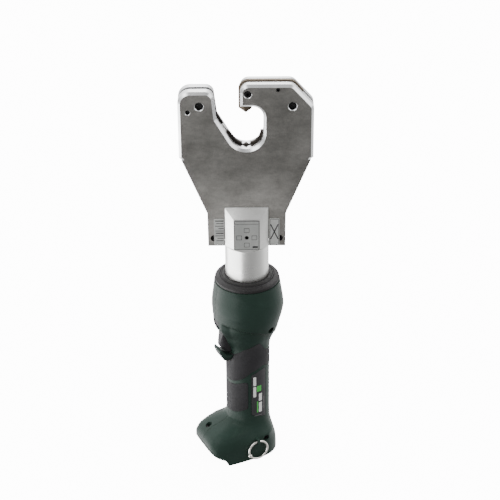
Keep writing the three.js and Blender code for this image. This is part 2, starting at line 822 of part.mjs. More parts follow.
// Outlines of the soft grips and the blank name plate, seen from the side.
const upperPad = [
  [30, 122.4],
  [20.4, 122.4],
  [13, 131, 4],
  [-1, 139.6, 4],
  [-9.8, 126.5, 4],
  [-30, 117],
  [-30, 98],
  [-7, 108.6, 5],
  [6.5, 103, 5],
  [13, 96.4, 4],
  [30, 83],
];
const lowerPad = [
  [30, 79],
  [21, 86],
  [13, 90.4, 2],
  [9.6, 90.4, 2],
  [9.6, 58.6, 4],
  [22, 51],
  [30, 49],
];
const blankPlate = [
  [6.2, 50.3, 1],
  [6.2, 99.5, 1],
  [-6.9, 104.6, 2],
  [-10.4, 103.4, 1],
  [-10.4, 44.4, 1],
];

const PAD_DEPTH = 1.4;
const SPLIT = GAP / 2;
const sideSpan = (side, reach) => [side * SPLIT, side * reach].sort((a, b) => a - b);

// The same solid with a clearance all round it, along X and Z.
function grown(solid) {
  const moves = [[GAP, 0, 0], [-GAP, 0, 0], [0, 0, GAP], [0, 0, -GAP]];
  return moves.reduce((sum, move) => sum.add(solid.translate(move)), solid);
}

// Layer of the handle's skin that lies inside an outline seen from the side.
function skin(corners, side, proud, depth) {
  const region = outlineSlab(corners, ...sideSpan(side, 40));
  const layer = handleForm(-proud, 42, 146).subtract(handleForm(depth, 40, 150));
  return layer.intersect(region);
}

function recess(corners, side, depth) {
  const past = [-side, side * 40].sort((a, b) => a - b);
  const region = grown(outlineSlab(corners, ...past));
  const layer = handleForm(-1, 42, 146).subtract(handleForm(depth, 40, 150));
  return layer.intersect(region);
}

function padSolid(corners, side) {
  return skin(corners, side, 0.2, PAD_DEPTH)
    .subtract(grown(guardLip.add(guardLip.translate([0, side * GAP, 0]))));
}

const BULB_SCREW = [-12.2, 153.5];
const HEEL_SCREW = [-6.5, 22.6];
const TOE_SCREW = [43, -6];
const SCREW_HEAD = 3;
const SCREW_SHANK = 1.5;

const RING_TOP = [4.4, 32.9, 23];
const RING_R = 10.5;
const RING_WIRE = 1.15;

// Cylinder along X centred on a point.
function alongX(r, length, [x, y, z], sides = 16) {
  const geometry = new THREE.CylinderGeometry(r, r, length, sides);
  geometry.rotateZ(Math.PI / 2);
  geometry.translate(x, y, z);
  return solidOf(geometry);
}

// One half of the housing. The side is +1 for the left half and -1 for the right.
function shell(side) {
  const cavity = handleForm(WALL, SEAT_HEIGHT + SEAT_PROUD + 2.4, BODY_TOP + 5, 20);
  const ceiling = SEAT_HEIGHT + SEAT_PROUD;
  const bay = box(-24, 70, -RAIL_GAP_HALF, RAIL_GAP_HALF, -2, ceiling)
    .add(box(-24, 70, -BAY_HALF, BAY_HALF, RAIL_TOP, ceiling))
    .intersect(handleForm(WALL, -3, ceiling + 1));
  const seat = box(-3, 30, -14, 14, SEAT_HEIGHT, ceiling + 1);
  const half = box(-60, 80, ...sideSpan(side, 60), -5, 230);
  const bulbBoss = crossRod(3.4, -26, 26, ...BULB_SCREW).intersect(handleForm(1, 100, 190));
  const heelBoss = crossRod(3.8, -28.5, 28.5, ...HEEL_SCREW).intersect(handleForm(1, 15, 190));
  return cut(handleForm(0, 0, BODY_TOP), [
    cavity,
    bay,
    toeCut,
    triggerOpening,
    buttonOpening,
    recess(upperPad, side, PAD_DEPTH + GAP),
    recess(lowerPad, side, PAD_DEPTH + GAP),
  ])
    .add(guardLip)
    .add(bulbBoss)
    .add(heelBoss)
    .add(seat)
    .intersect(half);
}

function leftShell() {
  const eye = box(RING_TOP[0] - 1.5, RING_TOP[0] + 1.5, 28.6, 35.4, 19.6, 26.4)
    .subtract(alongX(1.75, 8, RING_TOP));
  return cut(shell(1), [
    recess(blankPlate, 1, 1.3),
    crossRod(SCREW_HEAD + GAP, 21, 60, ...BULB_SCREW, 20),
    crossRod(SCREW_SHANK + GAP, -14, 60, ...BULB_SCREW, 16),
    crossRod(SCREW_HEAD + GAP, 26, 60, ...HEEL_SCREW, 20),
    crossRod(SCREW_SHANK + GAP, -14, 60, ...HEEL_SCREW, 16),
  ]).add(eye);
}

function rightShell() {
  const toeBoss = rod(4, 4, 16, 35, 20, ...TOE_SCREW).intersect(handleForm(1, 15, 100));
  return cut(shell(-1).add(toeBoss), [
    crossRod(SCREW_SHANK + GAP, -14, 10, ...BULB_SCREW, 16),
    crossRod(SCREW_SHANK + GAP, -14, 10, ...HEEL_SCREW, 16),
    rod(SCREW_HEAD + GAP, SCREW_HEAD + GAP, 27.5, 45, 20, ...TOE_SCREW),
    rod(SCREW_SHANK + GAP, SCREW_SHANK + GAP, 14.8, 45, 16, ...TOE_SCREW),
  ]);
}

place(handle, 'housing_left', leftShell(), materials.housing);
place(handle, 'housing_right', rightShell(), materials.housing);

for (const [word, side] of [['left', 1], ['right', -1]]) {
  place(handle, `grip_pad_upper_${word}`, padSolid(upperPad, side), materials.softGrip);
  place(handle, `grip_pad_lower_${word}`, padSolid(lowerPad, side), materials.softGrip);
}
place(handle, 'name_plate', skin(blankPlate, 1, 0, 1), materials.trigger);

// ---------- screws of the housing ----------

function crossScrew(screw, headEnd, tip) {
  return crossRod(SCREW_HEAD, headEnd, headEnd + 2.4, ...screw, 20)
    .add(crossRod(SCREW_SHANK, tip, headEnd + 1, ...screw, 16))
    .subtract(crossRod(1.3, headEnd + 1.2, headEnd + 3, ...screw, 6));
}
place(handle, 'bulb_screw', crossScrew(BULB_SCREW, 21.3, -12), materials.blackSteel);
place(handle, 'heel_screw', crossScrew(HEEL_SCREW, 26.3, -12), materials.blackSteel);
const toeScrew = rod(SCREW_HEAD, SCREW_HEAD, 27.8, 30.2, 20, ...TOE_SCREW)
  .add(rod(SCREW_SHANK, SCREW_SHANK, 15.2, 28.5, 16, ...TOE_SCREW))
  .subtract(rod(1.3, 1.3, 29, 31, 6, ...TOE_SCREW));
place(handle, 'toe_screw', toeScrew, materials.blackSteel);

// ---------- collar and swivel ----------

place(handle, 'collar_ring', turned([
  [25.5, 198.5],
  [29.9, 198.5],
  [29.9, BODY_TOP + GAP],
  [COLLAR_R, BODY_TOP + GAP],
  [COLLAR_R, COLLAR_EDGE],
  [COLLAR_R - 1.2, COLLAR_EDGE + 1],
  [25.5, COLLAR_TOP - 0.8],
]), materials.collar);
place(handle, 'wiper_ring', turned([
  [22, 201],
  [25.2, 201],
  [25.2, COLLAR_TOP - 0.9],
  [22.4, COLLAR_TOP],
  [22, COLLAR_TOP - 0.3],
], 32), materials.rubber);
place(handle, 'swivel_plate', turned([
  [TUBE_R + GAP, 189.5],
  [30.6, 189.5],
  [30.6, 192.5],
  [TUBE_R + GAP, 192.5],
], 24), materials.steel);

// ---------- trigger and release button ----------

const triggerSide = across([
  [19.2, 125],
  [26.4, 126, 2],
  [31, 129.2, 2.5],
  [33, 133.6, 2],
  [31, 141, 6],
  [29.4, 150.4, 1],
  [19.2, 150.4],
], TRIGGER_HALF);
const triggerPlan = rod(TRIGGER_HALF, TRIGGER_HALF, 120, 155, 28)
  .scale([1.65, 1, 1])
  .translate([22, 0, 0])
  .add(box(18, 22, -TRIGGER_HALF, TRIGGER_HALF, 120, 155));
place(handle, 'trigger', triggerSide.intersect(triggerPlan), materials.trigger);
place(handle, 'release_button', across([
  [28.4, 153.4],
  [34.8, 153.4, 1.5],
  [35.9, 157.5, 3],
  [35.5, 162, 1.5],
  [28.4, 162],
], BUTTON_HALF), materials.trigger);
place(handle, 'trigger_switch', box(9, 14.6, -5.5, 5.5, 121, 146), materials.blackSteel);

// ---------- drive: motor, gearbox, eccentric, pump ----------

const MOTOR_R = 17.2;
place(handle, 'motor', turned([
  [1.8, 46],
  [MOTOR_R - 1, 46],
  [MOTOR_R, 48],
  [MOTOR_R, 97],
  [6, 97],
  [6, 98.6],
  [1.8, 98.6],
], 24), materials.steel);
const shaftAndPinion = rod(1.5, 1.5, 47, 106, 12)
  .add(rod(2.8, 2.8, 101.5, 106, 12));
place(handle, 'motor_shaft', shaftAndPinion, materials.bright);

place(handle, 'gearbox_case', turned([
  [3.2, 99.2],
  [15.5, 99.2],
  [15.5, 116.5],
  [4.4, 116.5],
  [4.4, 114],
  [13, 114],
  [13, 101],
  [3.2, 101],
], 24), materials.blackSteel);

const ECCENTRIC = 1.2;
const carrier = rod(11.5, 11.5, 108, 110.5, 24);
const planetPins = [0, 1, 2].map((i) => {
  const angle = (2 * Math.PI * i) / 3;
  return rod(1.4, 1.4, 102, 109, 10, 7.6 * Math.cos(angle), 7.6 * Math.sin(angle));
});
const eccentricShaft = [
  ...planetPins,
  rod(3, 3, 110, 155.5, 20),
  rod(4, 4, 137.5, 147, 20, ECCENTRIC),
].reduce((sum, piece) => sum.add(piece), carrier);
place(handle, 'eccentric_shaft', eccentricShaft, materials.bright);
for (let i = 0; i < 3; i += 1) {
  const angle = (2 * Math.PI * i) / 3;
  const planet = turned([[1.7, 101.8], [4.4, 101.8], [4.4, 107], [1.7, 107]], 18)
    .translate([7.6 * Math.cos(angle), 7.6 * Math.sin(angle), 0]);
  place(handle, `planet_gear_${i + 1}`, planet, materials.steel);
}
const bearing = turned([[4.3, 138.5], [6, 138.5], [6, 146], [4.3, 146]], 24);
place(handle, 'eccentric_bearing', bearing.translate([ECCENTRIC, 0, 0]), materials.steel);

const PUMP_PISTON_Z = 142.2;
const pumpBody = rod(26, 26, 163.5, 176.6, 32)
  .add(box(-8.4, 8.4, -20.5, 9.4, 136.4, 164))
  .subtract(rod(7.7, 7.7, 135, 150, 32))
  .subtract(rod(3.2, 3.2, 149, 157, 20))
  .subtract(crossRod(2.8, -21, -5, 0, PUMP_PISTON_Z, 20))
  .subtract(rod(2, 2, 160, 177, 12, 14, 0));
place(handle, 'pump_body', pumpBody, materials.steel);
place(handle, 'pump_piston', crossRod(2.5, -19, -7.6, 0, PUMP_PISTON_Z, 20), materials.bright);
place(handle, 'oil_bladder', turned([
  [25, 177.6],
  [31.2, 177.6],
  [31.2, 188.8],
  [25, 188.8],
], 24), materials.rubber);

// ---------- electrics ----------

place(handle, 'circuit_board', box(2, 30, -15, 15, 24, 25.6), materials.board);
const TERMINAL_FRONT = -4; // the battery slides in from the toe and stops against this
const TERMINAL_BACK = -22.4;
const terminalRows = [-8, 0, 8];
const terminalBlock = terminalRows.reduce(
  (block, y) => block.subtract(
    box(TERMINAL_BACK + 1.4, TERMINAL_FRONT + 1, y - 0.9, y + 0.9, 5, 12)),
  box(TERMINAL_BACK, TERMINAL_FRONT, -12, 12, 6, SEAT_HEIGHT + SEAT_PROUD - GAP),
);
place(handle, 'terminal_block', terminalBlock, materials.trigger);
['plus', 'data', 'minus'].forEach((word, i) => {
  const y = terminalRows[i];
  const blade = box(TERMINAL_BACK + 2, TERMINAL_FRONT - 1, y - 0.5, y + 0.5, 6.4, 11.6);
  place(handle, `terminal_${word}`, blade, materials.brass);
});

// ---------- lanyard ring ----------

const ringCentre = [RING_TOP[0], RING_TOP[1], RING_TOP[2] - RING_R];
const ringGeometry = new THREE.TorusGeometry(RING_R, RING_WIRE, 6, 28);
ringGeometry.rotateX(Math.PI / 2);
ringGeometry.translate(...ringCentre);
const BEAD_ANGLE = THREE.MathUtils.degToRad(-26);
const beadGeometry = new THREE.SphereGeometry(2.2, 10, 6);
beadGeometry.translate(
  ringCentre[0] + RING_R * Math.cos(BEAD_ANGLE),
  ringCentre[1],
  ringCentre[2] + RING_R * Math.sin(BEAD_ANGLE),
);
place(handle, 'lanyard_ring', solidOf(ringGeometry).add(solidOf(beadGeometry)), materials.bright);

export default tool;
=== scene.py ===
import json
import math

import bmesh
import bpy
import numpy as np
from mathutils import Matrix, Vector

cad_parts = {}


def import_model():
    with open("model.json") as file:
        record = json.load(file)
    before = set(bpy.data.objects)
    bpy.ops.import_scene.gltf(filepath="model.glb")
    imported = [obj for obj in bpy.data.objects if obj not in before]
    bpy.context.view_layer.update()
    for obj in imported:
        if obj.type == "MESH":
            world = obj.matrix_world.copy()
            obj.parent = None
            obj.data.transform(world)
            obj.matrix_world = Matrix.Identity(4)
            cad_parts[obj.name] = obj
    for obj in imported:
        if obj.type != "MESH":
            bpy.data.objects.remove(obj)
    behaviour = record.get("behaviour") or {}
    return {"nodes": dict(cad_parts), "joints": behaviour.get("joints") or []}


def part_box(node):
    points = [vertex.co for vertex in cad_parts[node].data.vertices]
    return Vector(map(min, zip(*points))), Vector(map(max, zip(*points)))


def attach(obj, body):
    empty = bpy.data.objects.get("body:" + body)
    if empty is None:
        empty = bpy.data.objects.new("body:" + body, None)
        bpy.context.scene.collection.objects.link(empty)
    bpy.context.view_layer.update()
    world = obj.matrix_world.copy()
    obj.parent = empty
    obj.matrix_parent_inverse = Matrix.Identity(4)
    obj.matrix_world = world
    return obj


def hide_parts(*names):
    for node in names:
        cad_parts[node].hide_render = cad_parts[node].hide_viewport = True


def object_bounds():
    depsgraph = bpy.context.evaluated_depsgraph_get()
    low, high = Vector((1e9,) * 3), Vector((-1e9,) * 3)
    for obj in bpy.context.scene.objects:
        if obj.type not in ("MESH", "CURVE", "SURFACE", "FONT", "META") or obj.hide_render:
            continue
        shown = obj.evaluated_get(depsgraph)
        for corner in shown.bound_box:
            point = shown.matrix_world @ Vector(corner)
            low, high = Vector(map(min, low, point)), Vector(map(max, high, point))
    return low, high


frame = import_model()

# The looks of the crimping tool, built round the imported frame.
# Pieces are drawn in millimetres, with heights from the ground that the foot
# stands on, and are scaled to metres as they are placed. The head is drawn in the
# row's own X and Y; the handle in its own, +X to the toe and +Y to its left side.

# ---------- what the frame says ----------

MM = 0.001
CAD_LOW, CAD_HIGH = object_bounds()
GROUND = CAD_LOW.z
JOINTS = {joint["name"]: joint for joint in frame["joints"]}
TOE = -Vector(JOINTS["release_press"]["axis"])
LEFT = Vector(JOINTS["trigger_pull"]["axis"])
UP = Vector((0, 0, 1))

HEAD_FRAME = Matrix.Translation((0, 0, GROUND)) @ Matrix.Scale(MM, 4)
HANDLE_FRAME = (
    Matrix.Translation((0, 0, GROUND))
    @ Matrix((TOE, LEFT, UP)).transposed().to_4x4()
    @ Matrix.Scale(MM, 4)
)
# Bodies whose pieces are drawn in the head's frame.
HEAD_BODIES = {"head", "ram", "left_indenter", "right_indenter"}


def extent(node):
    """Lowest and highest corner of a CAD node in the head's frame, in millimetres."""
    low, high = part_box(node)
    lift = Vector((0, 0, GROUND))
    return (low - lift) / MM, (high - lift) / MM


# ---------- meshes ----------


def mesh_object(name, vertices, faces):
    mesh = bpy.data.meshes.new(name)
    mesh.from_pydata([tuple(v) for v in vertices], [], [tuple(f) for f in faces])
    piece = bpy.data.objects.new(name, mesh)
    bpy.context.scene.collection.objects.link(piece)
    work = bmesh.new()
    work.from_mesh(mesh)
    bmesh.ops.recalc_face_normals(work, faces=work.faces)
    work.to_mesh(mesh)
    work.free()
    return piece


def rounded(corners, degrees=9):
    """Points of a closed outline of (x, z) or (x, z, corner radius), arcs included."""
    points = []
    count = len(corners)
    for i, corner in enumerate(corners):
        here = Vector(corner[:2])
        radius = corner[2] if len(corner) > 2 else 0
        if radius == 0:
            points.append(tuple(here))
            continue
        back = (Vector(corners[i - 1][:2]) - here).normalized()
        on = (Vector(corners[(i + 1) % count][:2]) - here).normalized()
        half = math.acos(max(-1, min(1, back.dot(on)))) / 2
        centre = here + (back + on).normalized() * radius / math.sin(half)
        start = here + back * radius / math.tan(half) - centre
        end = here + on * radius / math.tan(half) - centre
        sweep = start.angle_signed(end)
        steps = max(2, round(abs(math.degrees(sweep)) / degrees))
        first = math.atan2(start.y, start.x)
        for k in range(steps + 1):
            angle = first - sweep * k / steps
            across, up = radius * math.cos(angle), radius * math.sin(angle)
            points.append((centre.x + across, centre.y + up))
    return points


def prism(corners, y0, y1, name="prism"):
    """Outline in X and Z, extruded along Y."""
    points = rounded(corners)
    n = len(points)
    vertices = [(x, y0, z) for x, z in points] + [(x, y1, z) for x, z in points]
    faces = [range(n), range(2 * n - 1, n - 1, -1)]
    faces += [(i, (i + 1) % n, n + (i + 1) % n, n + i) for i in range(n)]
    return mesh_object(name, vertices, faces)


def box(x0, x1, y0, y1, z0, z1, name="box"):
    return prism([(x0, z0), (x1, z0), (x1, z1), (x0, z1)], y0, y1, name)


def lathe(profile, sides=96, name="lathe"):
    """Closed loop of (radius, z) turned about Z. A point at radius 0 is a pole."""
    rings = [(0, z) if r == 0 else (r, z) for r, z in profile]
    vertices, starts = [], []
    for r, z in rings:
        starts.append(len(vertices))
        count = 1 if r == 0 else sides
        for k in range(count):
            angle = 2 * math.pi * k / sides
            vertices.append((r * math.cos(angle), r * math.sin(angle), z))
    faces = []
    for i, (r0, _) in enumerate(rings):
        j = (i + 1) % len(rings)
        r1 = rings[j][0]
        if r0 == 0 and r1 == 0:
            continue
        for k in range(sides):
            m = (k + 1) % sides
            a = [starts[i]] if r0 == 0 else [starts[i] + k, starts[i] + m]
            b = [starts[j]] if r1 == 0 else [starts[j] + m, starts[j] + k]
            faces.append(a + b)
    return mesh_object(name, vertices, faces)


def turn(degrees, axis):
    return Matrix.Rotation(math.radians(degrees), 4, axis)


def turned_to(piece, matrix):
    piece.data.transform(matrix)
    return piece


def shifted(piece, x=0, y=0, z=0):
    return turned_to(piece, Matrix.Translation((x, y, z)))


def rod(radius, z0, z1, x=0, y=0, sides=48):
    return shifted(lathe([(0, z0), (radius, z0), (radius, z1), (0, z1)], sides), x, y)


def turned_across(profile, x, z, sides=48):
    """Closed loop of (radius, y) turned about a line along Y through (x, z)."""
    piece = turned_to(lathe(profile, sides), turn(-90, "X"))
    return shifted(piece, x, 0, z)


def cross_cone(radius0, radius1, y0, y1, x, z, sides=40):
    return turned_across([(0, y0), (radius0, y0), (radius1, y1), (0, y1)], x, z, sides)


def cross_rod(radius, y0, y1, x, z, sides=40):
    """Cylinder along Y."""
    return cross_cone(radius, radius, y0, y1, x, z, sides)


def settle(piece):
    """Applies the piece's modifiers."""
    graph = bpy.context.evaluated_depsgraph_get()
    mesh = bpy.data.meshes.new_from_object(piece.evaluated_get(graph))
    piece.modifiers.clear()
    piece.data = mesh
    return piece


def combine(piece, tools, operation):
    for tool in tools:
        change = piece.modifiers.new("combine", "BOOLEAN")
        change.object = tool
        change.operation = operation
        change.solver = "MANIFOLD"
        settle(piece)
        bpy.data.objects.remove(tool)
    return piece


def cut(piece, *tools):
    return combine(piece, tools, "DIFFERENCE")


def add(piece, *tools):
    return combine(piece, tools, "UNION")


def common(piece, *tools):
    return combine(piece, tools, "INTERSECT")


WELD = 0.004


def tidy(piece, flat=1.5):
    """Welds what a cut left and joins the triangles of each flat face."""
    work = bmesh.new()
    work.from_mesh(piece.data)
    bmesh.ops.remove_doubles(work, verts=work.verts, dist=WELD)
    bmesh.ops.dissolve_degenerate(work, dist=WELD, edges=work.edges)
    bmesh.ops.dissolve_limit(
        work, angle_limit=math.radians(flat), verts=work.verts, edges=work.edges
    )
    work.to_mesh(piece.data)
    work.free()
    return piece


def bevel(piece, width, segments=2, angle=32):
    change = piece.modifiers.new("bevel", "BEVEL")
    change.width = width
    change.segments = segments
    change.limit_method = "ANGLE"
    change.angle_limit = math.radians(angle)
    change.harden_normals = False
    return settle(piece)


def finish_piece(piece, name, body, looks, replaces=(), sharp=35):
    """Moves a drawn piece into the row frame, smooths it and hangs it on its body."""
    piece.name = name
    piece.data.name = name
    piece.data.transform(HEAD_FRAME if body in HEAD_BODIES else HANDLE_FRAME)
    piece.data.materials.clear()
    for look in looks.split():
        piece.data.materials.append(MATERIALS[look])
    piece.data.shade_smooth()
    piece.data.set_sharp_from_angle(angle=math.radians(sharp))
    if replaces:
        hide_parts(*replaces)
    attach(piece, body)
    return piece


# ---------- materials ----------


def ramp_of(nodes, low, high, start, end):
    ramp = nodes.new("ShaderNodeValToRGB")
    ramp.color_ramp.elements[0].position = start
    ramp.color_ramp.elements[0].color = (*low, 1)
    ramp.color_ramp.elements[1].position = end
    ramp.color_ramp.elements[1].color = (*high, 1)
    return ramp


def noise_of(tree, scale, detail=4.0, stretch=(1, 1, 1), roughness=0.55):
    """Noise in the piece's own coordinates, stretched along an axis where asked."""
    nodes, links = tree.nodes, tree.links
    place = nodes.new("ShaderNodeTexCoord")
    mapping = nodes.new("ShaderNodeMapping")
    mapping.inputs["Scale"].default_value = stretch
    noise = nodes.new("ShaderNodeTexNoise")
    noise.inputs["Scale"].default_value = scale
    noise.inputs["Detail"].default_value = detail
    noise.inputs["Roughness"].default_value = roughness
    links.new(place.outputs["Object"], mapping.inputs["Vector"])
    links.new(mapping.outputs["Vector"], noise.inputs["Vector"])
    return noise


def ranged(tree, value, start, end, low=0, high=1):
    """Turns start to end into low to high."""
    node = tree.nodes.new("ShaderNodeMapRange")
    names = ("From Min", "From Max", "To Min", "To Max")
    for name, number in zip(names, (start, end, low, high)):
        node.inputs[name].default_value = number
    tree.links.new(value, node.inputs["Value"])
    return node


def multiplied(tree, first, second):
    mix = tree.nodes.new("ShaderNodeMix")
    mix.data_type = "RGBA"
    mix.blend_type = "MULTIPLY"
    mix.inputs["Factor"].default_value = 1
    tree.links.new(first, mix.inputs["A"])
    tree.links.new(second, mix.inputs["B"])
    return mix.outputs["Result"]


MATERIALS = {}


def surface(name, dark, light, metallic, rough, blotch, grain, **extra):
    """A material whose colour drifts from dark to light, whose roughness varies
    between two values and whose surface has fine grain: (scale, depth in metres).
    Streaks are (scale, strength). Painted glow is (low, high, gain), painted light: the
    colour is gain times as bright at the height low in metres and plain from high up."""
    material = bpy.data.materials.new(name)
    material.use_nodes = True
    tree = material.node_tree
    nodes, links = tree.nodes, tree.links
    shader = nodes["Principled BSDF"]
    shader.inputs["Metallic"].default_value = metallic
    stretch = extra.get("stretch", (1, 1, 1))

    drift = noise_of(tree, blotch, 5.0, extra.get("blotch_stretch", stretch))
    colours = ramp_of(nodes, dark, light, 0.32, 0.68)
    links.new(drift.outputs["Fac"], colours.inputs["Fac"])
    colour = colours.outputs["Color"]

    if "streaks" in extra:
        scale, strength = extra["streaks"]
        streaks = noise_of(tree, scale, 3.0, stretch, 0.7)
        shade = ramp_of(nodes, (1 - strength,) * 3, (1, 1, 1), 0.35, 0.6)
        links.new(streaks.outputs["Fac"], shade.inputs["Fac"])
        colour = multiplied(tree, colour, shade.outputs["Color"])
    # Painted light: the colour is scaled up towards a low height, in place of reflected light.
    if "fade" in extra:
        low, high, gain = extra["fade"]
        where = nodes.new("ShaderNodeTexCoord")
        parts = nodes.new("ShaderNodeSeparateXYZ")
        fade = ranged(tree, parts.outputs["Z"], low, high, gain, 1)
        fade.interpolation_type = "SMOOTHSTEP"
        painted_glow_colour = nodes.new("ShaderNodeVectorMath")
        painted_glow_colour.operation = "SCALE"
        links.new(where.outputs["Object"], parts.inputs["Vector"])
        links.new(colour, painted_glow_colour.inputs[0])
        links.new(fade.outputs["Result"], painted_glow_colour.inputs["Scale"])
        colour = painted_glow_colour.outputs["Vector"]
    links.new(colour, shader.inputs["Base Color"])

    gloss = noise_of(tree, blotch * 2.3, 4.0, stretch)
    band = ranged(tree, gloss.outputs["Fac"], 0.3, 0.7, *rough)
    links.new(band.outputs["Result"], shader.inputs["Roughness"])

    fine = noise_of(tree, grain[0], 3.0, stretch, 0.6)
    bump = nodes.new("ShaderNodeBump")
    bump.inputs["Strength"].default_value = 1.0
    bump.inputs["Distance"].default_value = grain[1]
    links.new(fine.outputs["Fac"], bump.inputs["Height"])
    links.new(bump.outputs["Normal"], shader.inputs["Normal"])

    if "sheen" in extra:
        shader.inputs["Sheen Weight"].default_value = extra["sheen"]
        shader.inputs["Sheen Roughness"].default_value = 0.5
    if "specular" in extra:
        shader.inputs["Specular IOR Level"].default_value = extra["specular"]
    MATERIALS[name] = material


# The head plates' colour is painted brighter towards the bottom: a painted reflection of the bright
# floor, which the plates don't mirror.
surface(
    "ground_plate", (0.18, 0.175, 0.164), (0.31, 0.302, 0.286),
    1.0, (0.36, 0.5), 30, (900, 0.00002),
    stretch=(0.8, 1, 1.5), blotch_stretch=(1, 1, 1), streaks=(200, 0.14), fade=(0.272, 0.322, 1.6),
)
surface("milled_edge", (0.78, 0.79, 0.8), (0.9, 0.9, 0.9), 1.0, (0.2, 0.32), 60, (1500, 0.00001))
surface(
    "hardened", (0.09, 0.07, 0.05), (0.17, 0.14, 0.11), 1.0, (0.35, 0.55), 60, (1500, 0.00002)
)
surface(
    "blackened", (0.02, 0.018, 0.016), (0.045, 0.038, 0.032), 0.9, (0.4, 0.6), 70, (1500, 0.00002)
)
surface(
    "turned_steel", (0.72, 0.72, 0.7), (0.85, 0.85, 0.83), 1.0, (0.26, 0.36), 60, (1200, 0.00001),
    stretch=(0.5, 0.5, 2.5), blotch_stretch=(1, 1, 0.12),
)
surface(
    "bright_steel", (0.72, 0.72, 0.7), (0.86, 0.86, 0.84), 1.0, (0.14, 0.26), 80, (1800, 0.00001)
)
surface(
    "machined_steel", (0.42, 0.42, 0.42), (0.58, 0.58, 0.57),
    1.0, (0.28, 0.42), 60, (1400, 0.00002),
    stretch=(1, 1, 3),
)
surface(
    "black_steel", (0.012, 0.012, 0.013), (0.03, 0.03, 0.03), 1.0, (0.4, 0.6), 200, (2500, 0.00002)
)
surface(
    "green_plastic", (0.018, 0.035, 0.027), (0.022, 0.042, 0.033),
    0.0, (0.34, 0.42), 45, (2600, 0.00003),
    specular=0.13,
)
surface(
    "soft_grip", (0.02, 0.019, 0.021), (0.026, 0.025, 0.028),
    0.0, (0.62, 0.74), 60, (2200, 0.00006),
    sheen=0.08, specular=0.18,
)
surface(
    "dark_plastic", (0.018, 0.017, 0.018), (0.025, 0.024, 0.025),
    0.0, (0.4, 0.5), 60, (2600, 0.00003)
)
surface(
    "soft_dark", (0.02, 0.019, 0.022), (0.027, 0.026, 0.029), 0.0, (0.5, 0.6), 60, (2400, 0.00003)
)
surface(
    "trigger_plastic", (0.018, 0.017, 0.019), (0.025, 0.024, 0.026),
    0.0, (0.42, 0.52), 60, (2400, 0.00003),
    specular=0.2,
)
surface(
    "polished_ring", (0.84, 0.82, 0.76), (0.92, 0.9, 0.85), 1.0, (0.12, 0.22), 120, (1500, 0.000006)
)
surface(
    "collar_plastic", (0.012, 0.011, 0.012), (0.017, 0.016, 0.017),
    0.0, (0.5, 0.6), 50, (2200, 0.00004),
    specular=0.3,
)
surface(
    "rubber", (0.008, 0.008, 0.008), (0.016, 0.016, 0.016), 0.0, (0.6, 0.8), 80, (2000, 0.00005)
)
surface(
    "label_film", (0.38, 0.39, 0.38), (0.45, 0.46, 0.445), 0.45, (0.35, 0.5), 90, (1500, 0.000008),
    stretch=(1, 1, 0.3),
)
surface(
    "label_side", (0.5, 0.51, 0.5), (0.58, 0.59, 0.57), 0.35, (0.35, 0.5), 90, (1500, 0.000008)
)
for ink, dark, light, rough in (
    ("black", (0.008, 0.008, 0.008), (0.014, 0.014, 0.014), (0.4, 0.5)),
    ("grey", (0.09, 0.09, 0.09), (0.12, 0.12, 0.12), (0.4, 0.5)),
    ("white", (0.78, 0.78, 0.76), (0.84, 0.84, 0.82), (0.35, 0.45)),
    ("green", (0.05, 0.42, 0.06), (0.07, 0.5, 0.08), (0.35, 0.45)),
):
    surface(f"mark_{ink}", dark, light, 0.0, rough, 200, (2500, 0.000005))
surface("brass", (0.5, 0.34, 0.11), (0.62, 0.45, 0.17), 1.0, (0.22, 0.36), 120, (1800, 0.00001))
surface("board", (0.012, 0.09, 0.03), (0.02, 0.13, 0.05), 0.0, (0.3, 0.45), 150, (900, 0.00003))
surface(
    "spring_steel", (0.3, 0.3, 0.3), (0.42, 0.42, 0.42), 1.0, (0.3, 0.45), 120, (1800, 0.00002)
)

# ---------- head plates ----------

FRONT_LOW, FRONT_HIGH = extent("head_plate_front")
PLATE_FACE = -FRONT_LOW.y
PLATE_INNER = -FRONT_HIGH.y
HEAD_HALF = FRONT_HIGH.x
HOOK_TOP = FRONT_HIGH.z
LEG_BOTTOM = FRONT_LOW.z
CHAMFER = 2.4
POCKET = 6.3
LEG_OUTER = 37.7
SHOULDER_LOW = 282.4
SHOULDER_HIGH = 339.4
SLOT_HALF = 21.3
SLOT_TOP = 289
ARM_TOP = 408.5
THROAT_Z = 365.8
THROAT_R = 16.6
RAM_STROKE = 16
RAM_ROOM_R = 6.5
# How far out cutting tools reach, past the outer face of a plate.
PAST_FACE = 13
# The screw in the hook: clearances round its head and shank, and where its head sits.
HOOK_HEAD_R = 3.5
HOOK_SHANK_R = 1.9
HOOK_SEAT = 7.5

PLATE_OUTLINE = [
    (-LEG_OUTER, LEG_BOTTOM), (-SLOT_HALF, LEG_BOTTOM), (-SLOT_HALF, SLOT_TOP),
    (SLOT_HALF, SLOT_TOP), (SLOT_HALF, LEG_BOTTOM), (LEG_OUTER, LEG_BOTTOM),
    (LEG_OUTER + 0.4, SHOULDER_LOW, 5), (HEAD_HALF - CHAMFER, SHOULDER_HIGH),
    (HEAD_HALF, SHOULDER_HIGH + 1.6), (HEAD_HALF, 394, 9), (44.2, HOOK_TOP, 9),
    (-5.4, HOOK_TOP, 8.4), (-5.4, 393.6), (THROAT_R, 393.6, 10.6), (THROAT_R, 304.5, THROAT_R),
    (-27.9, 381.4, 6), (-30.6, ARM_TOP, 8), (-HEAD_HALF, ARM_TOP, 12),
    (-HEAD_HALF, SHOULDER_HIGH + 1.6), (-HEAD_HALF + CHAMFER, SHOULDER_HIGH),
    (-LEG_OUTER - 0.4, SHOULDER_LOW, 5),
]
SQUARE_OUTLINE = [
    *PLATE_OUTLINE[:7], (HEAD_HALF - CHAMFER, SHOULDER_HIGH),
    (-HEAD_HALF + CHAMFER, SHOULDER_HIGH), PLATE_OUTLINE[-1],
]


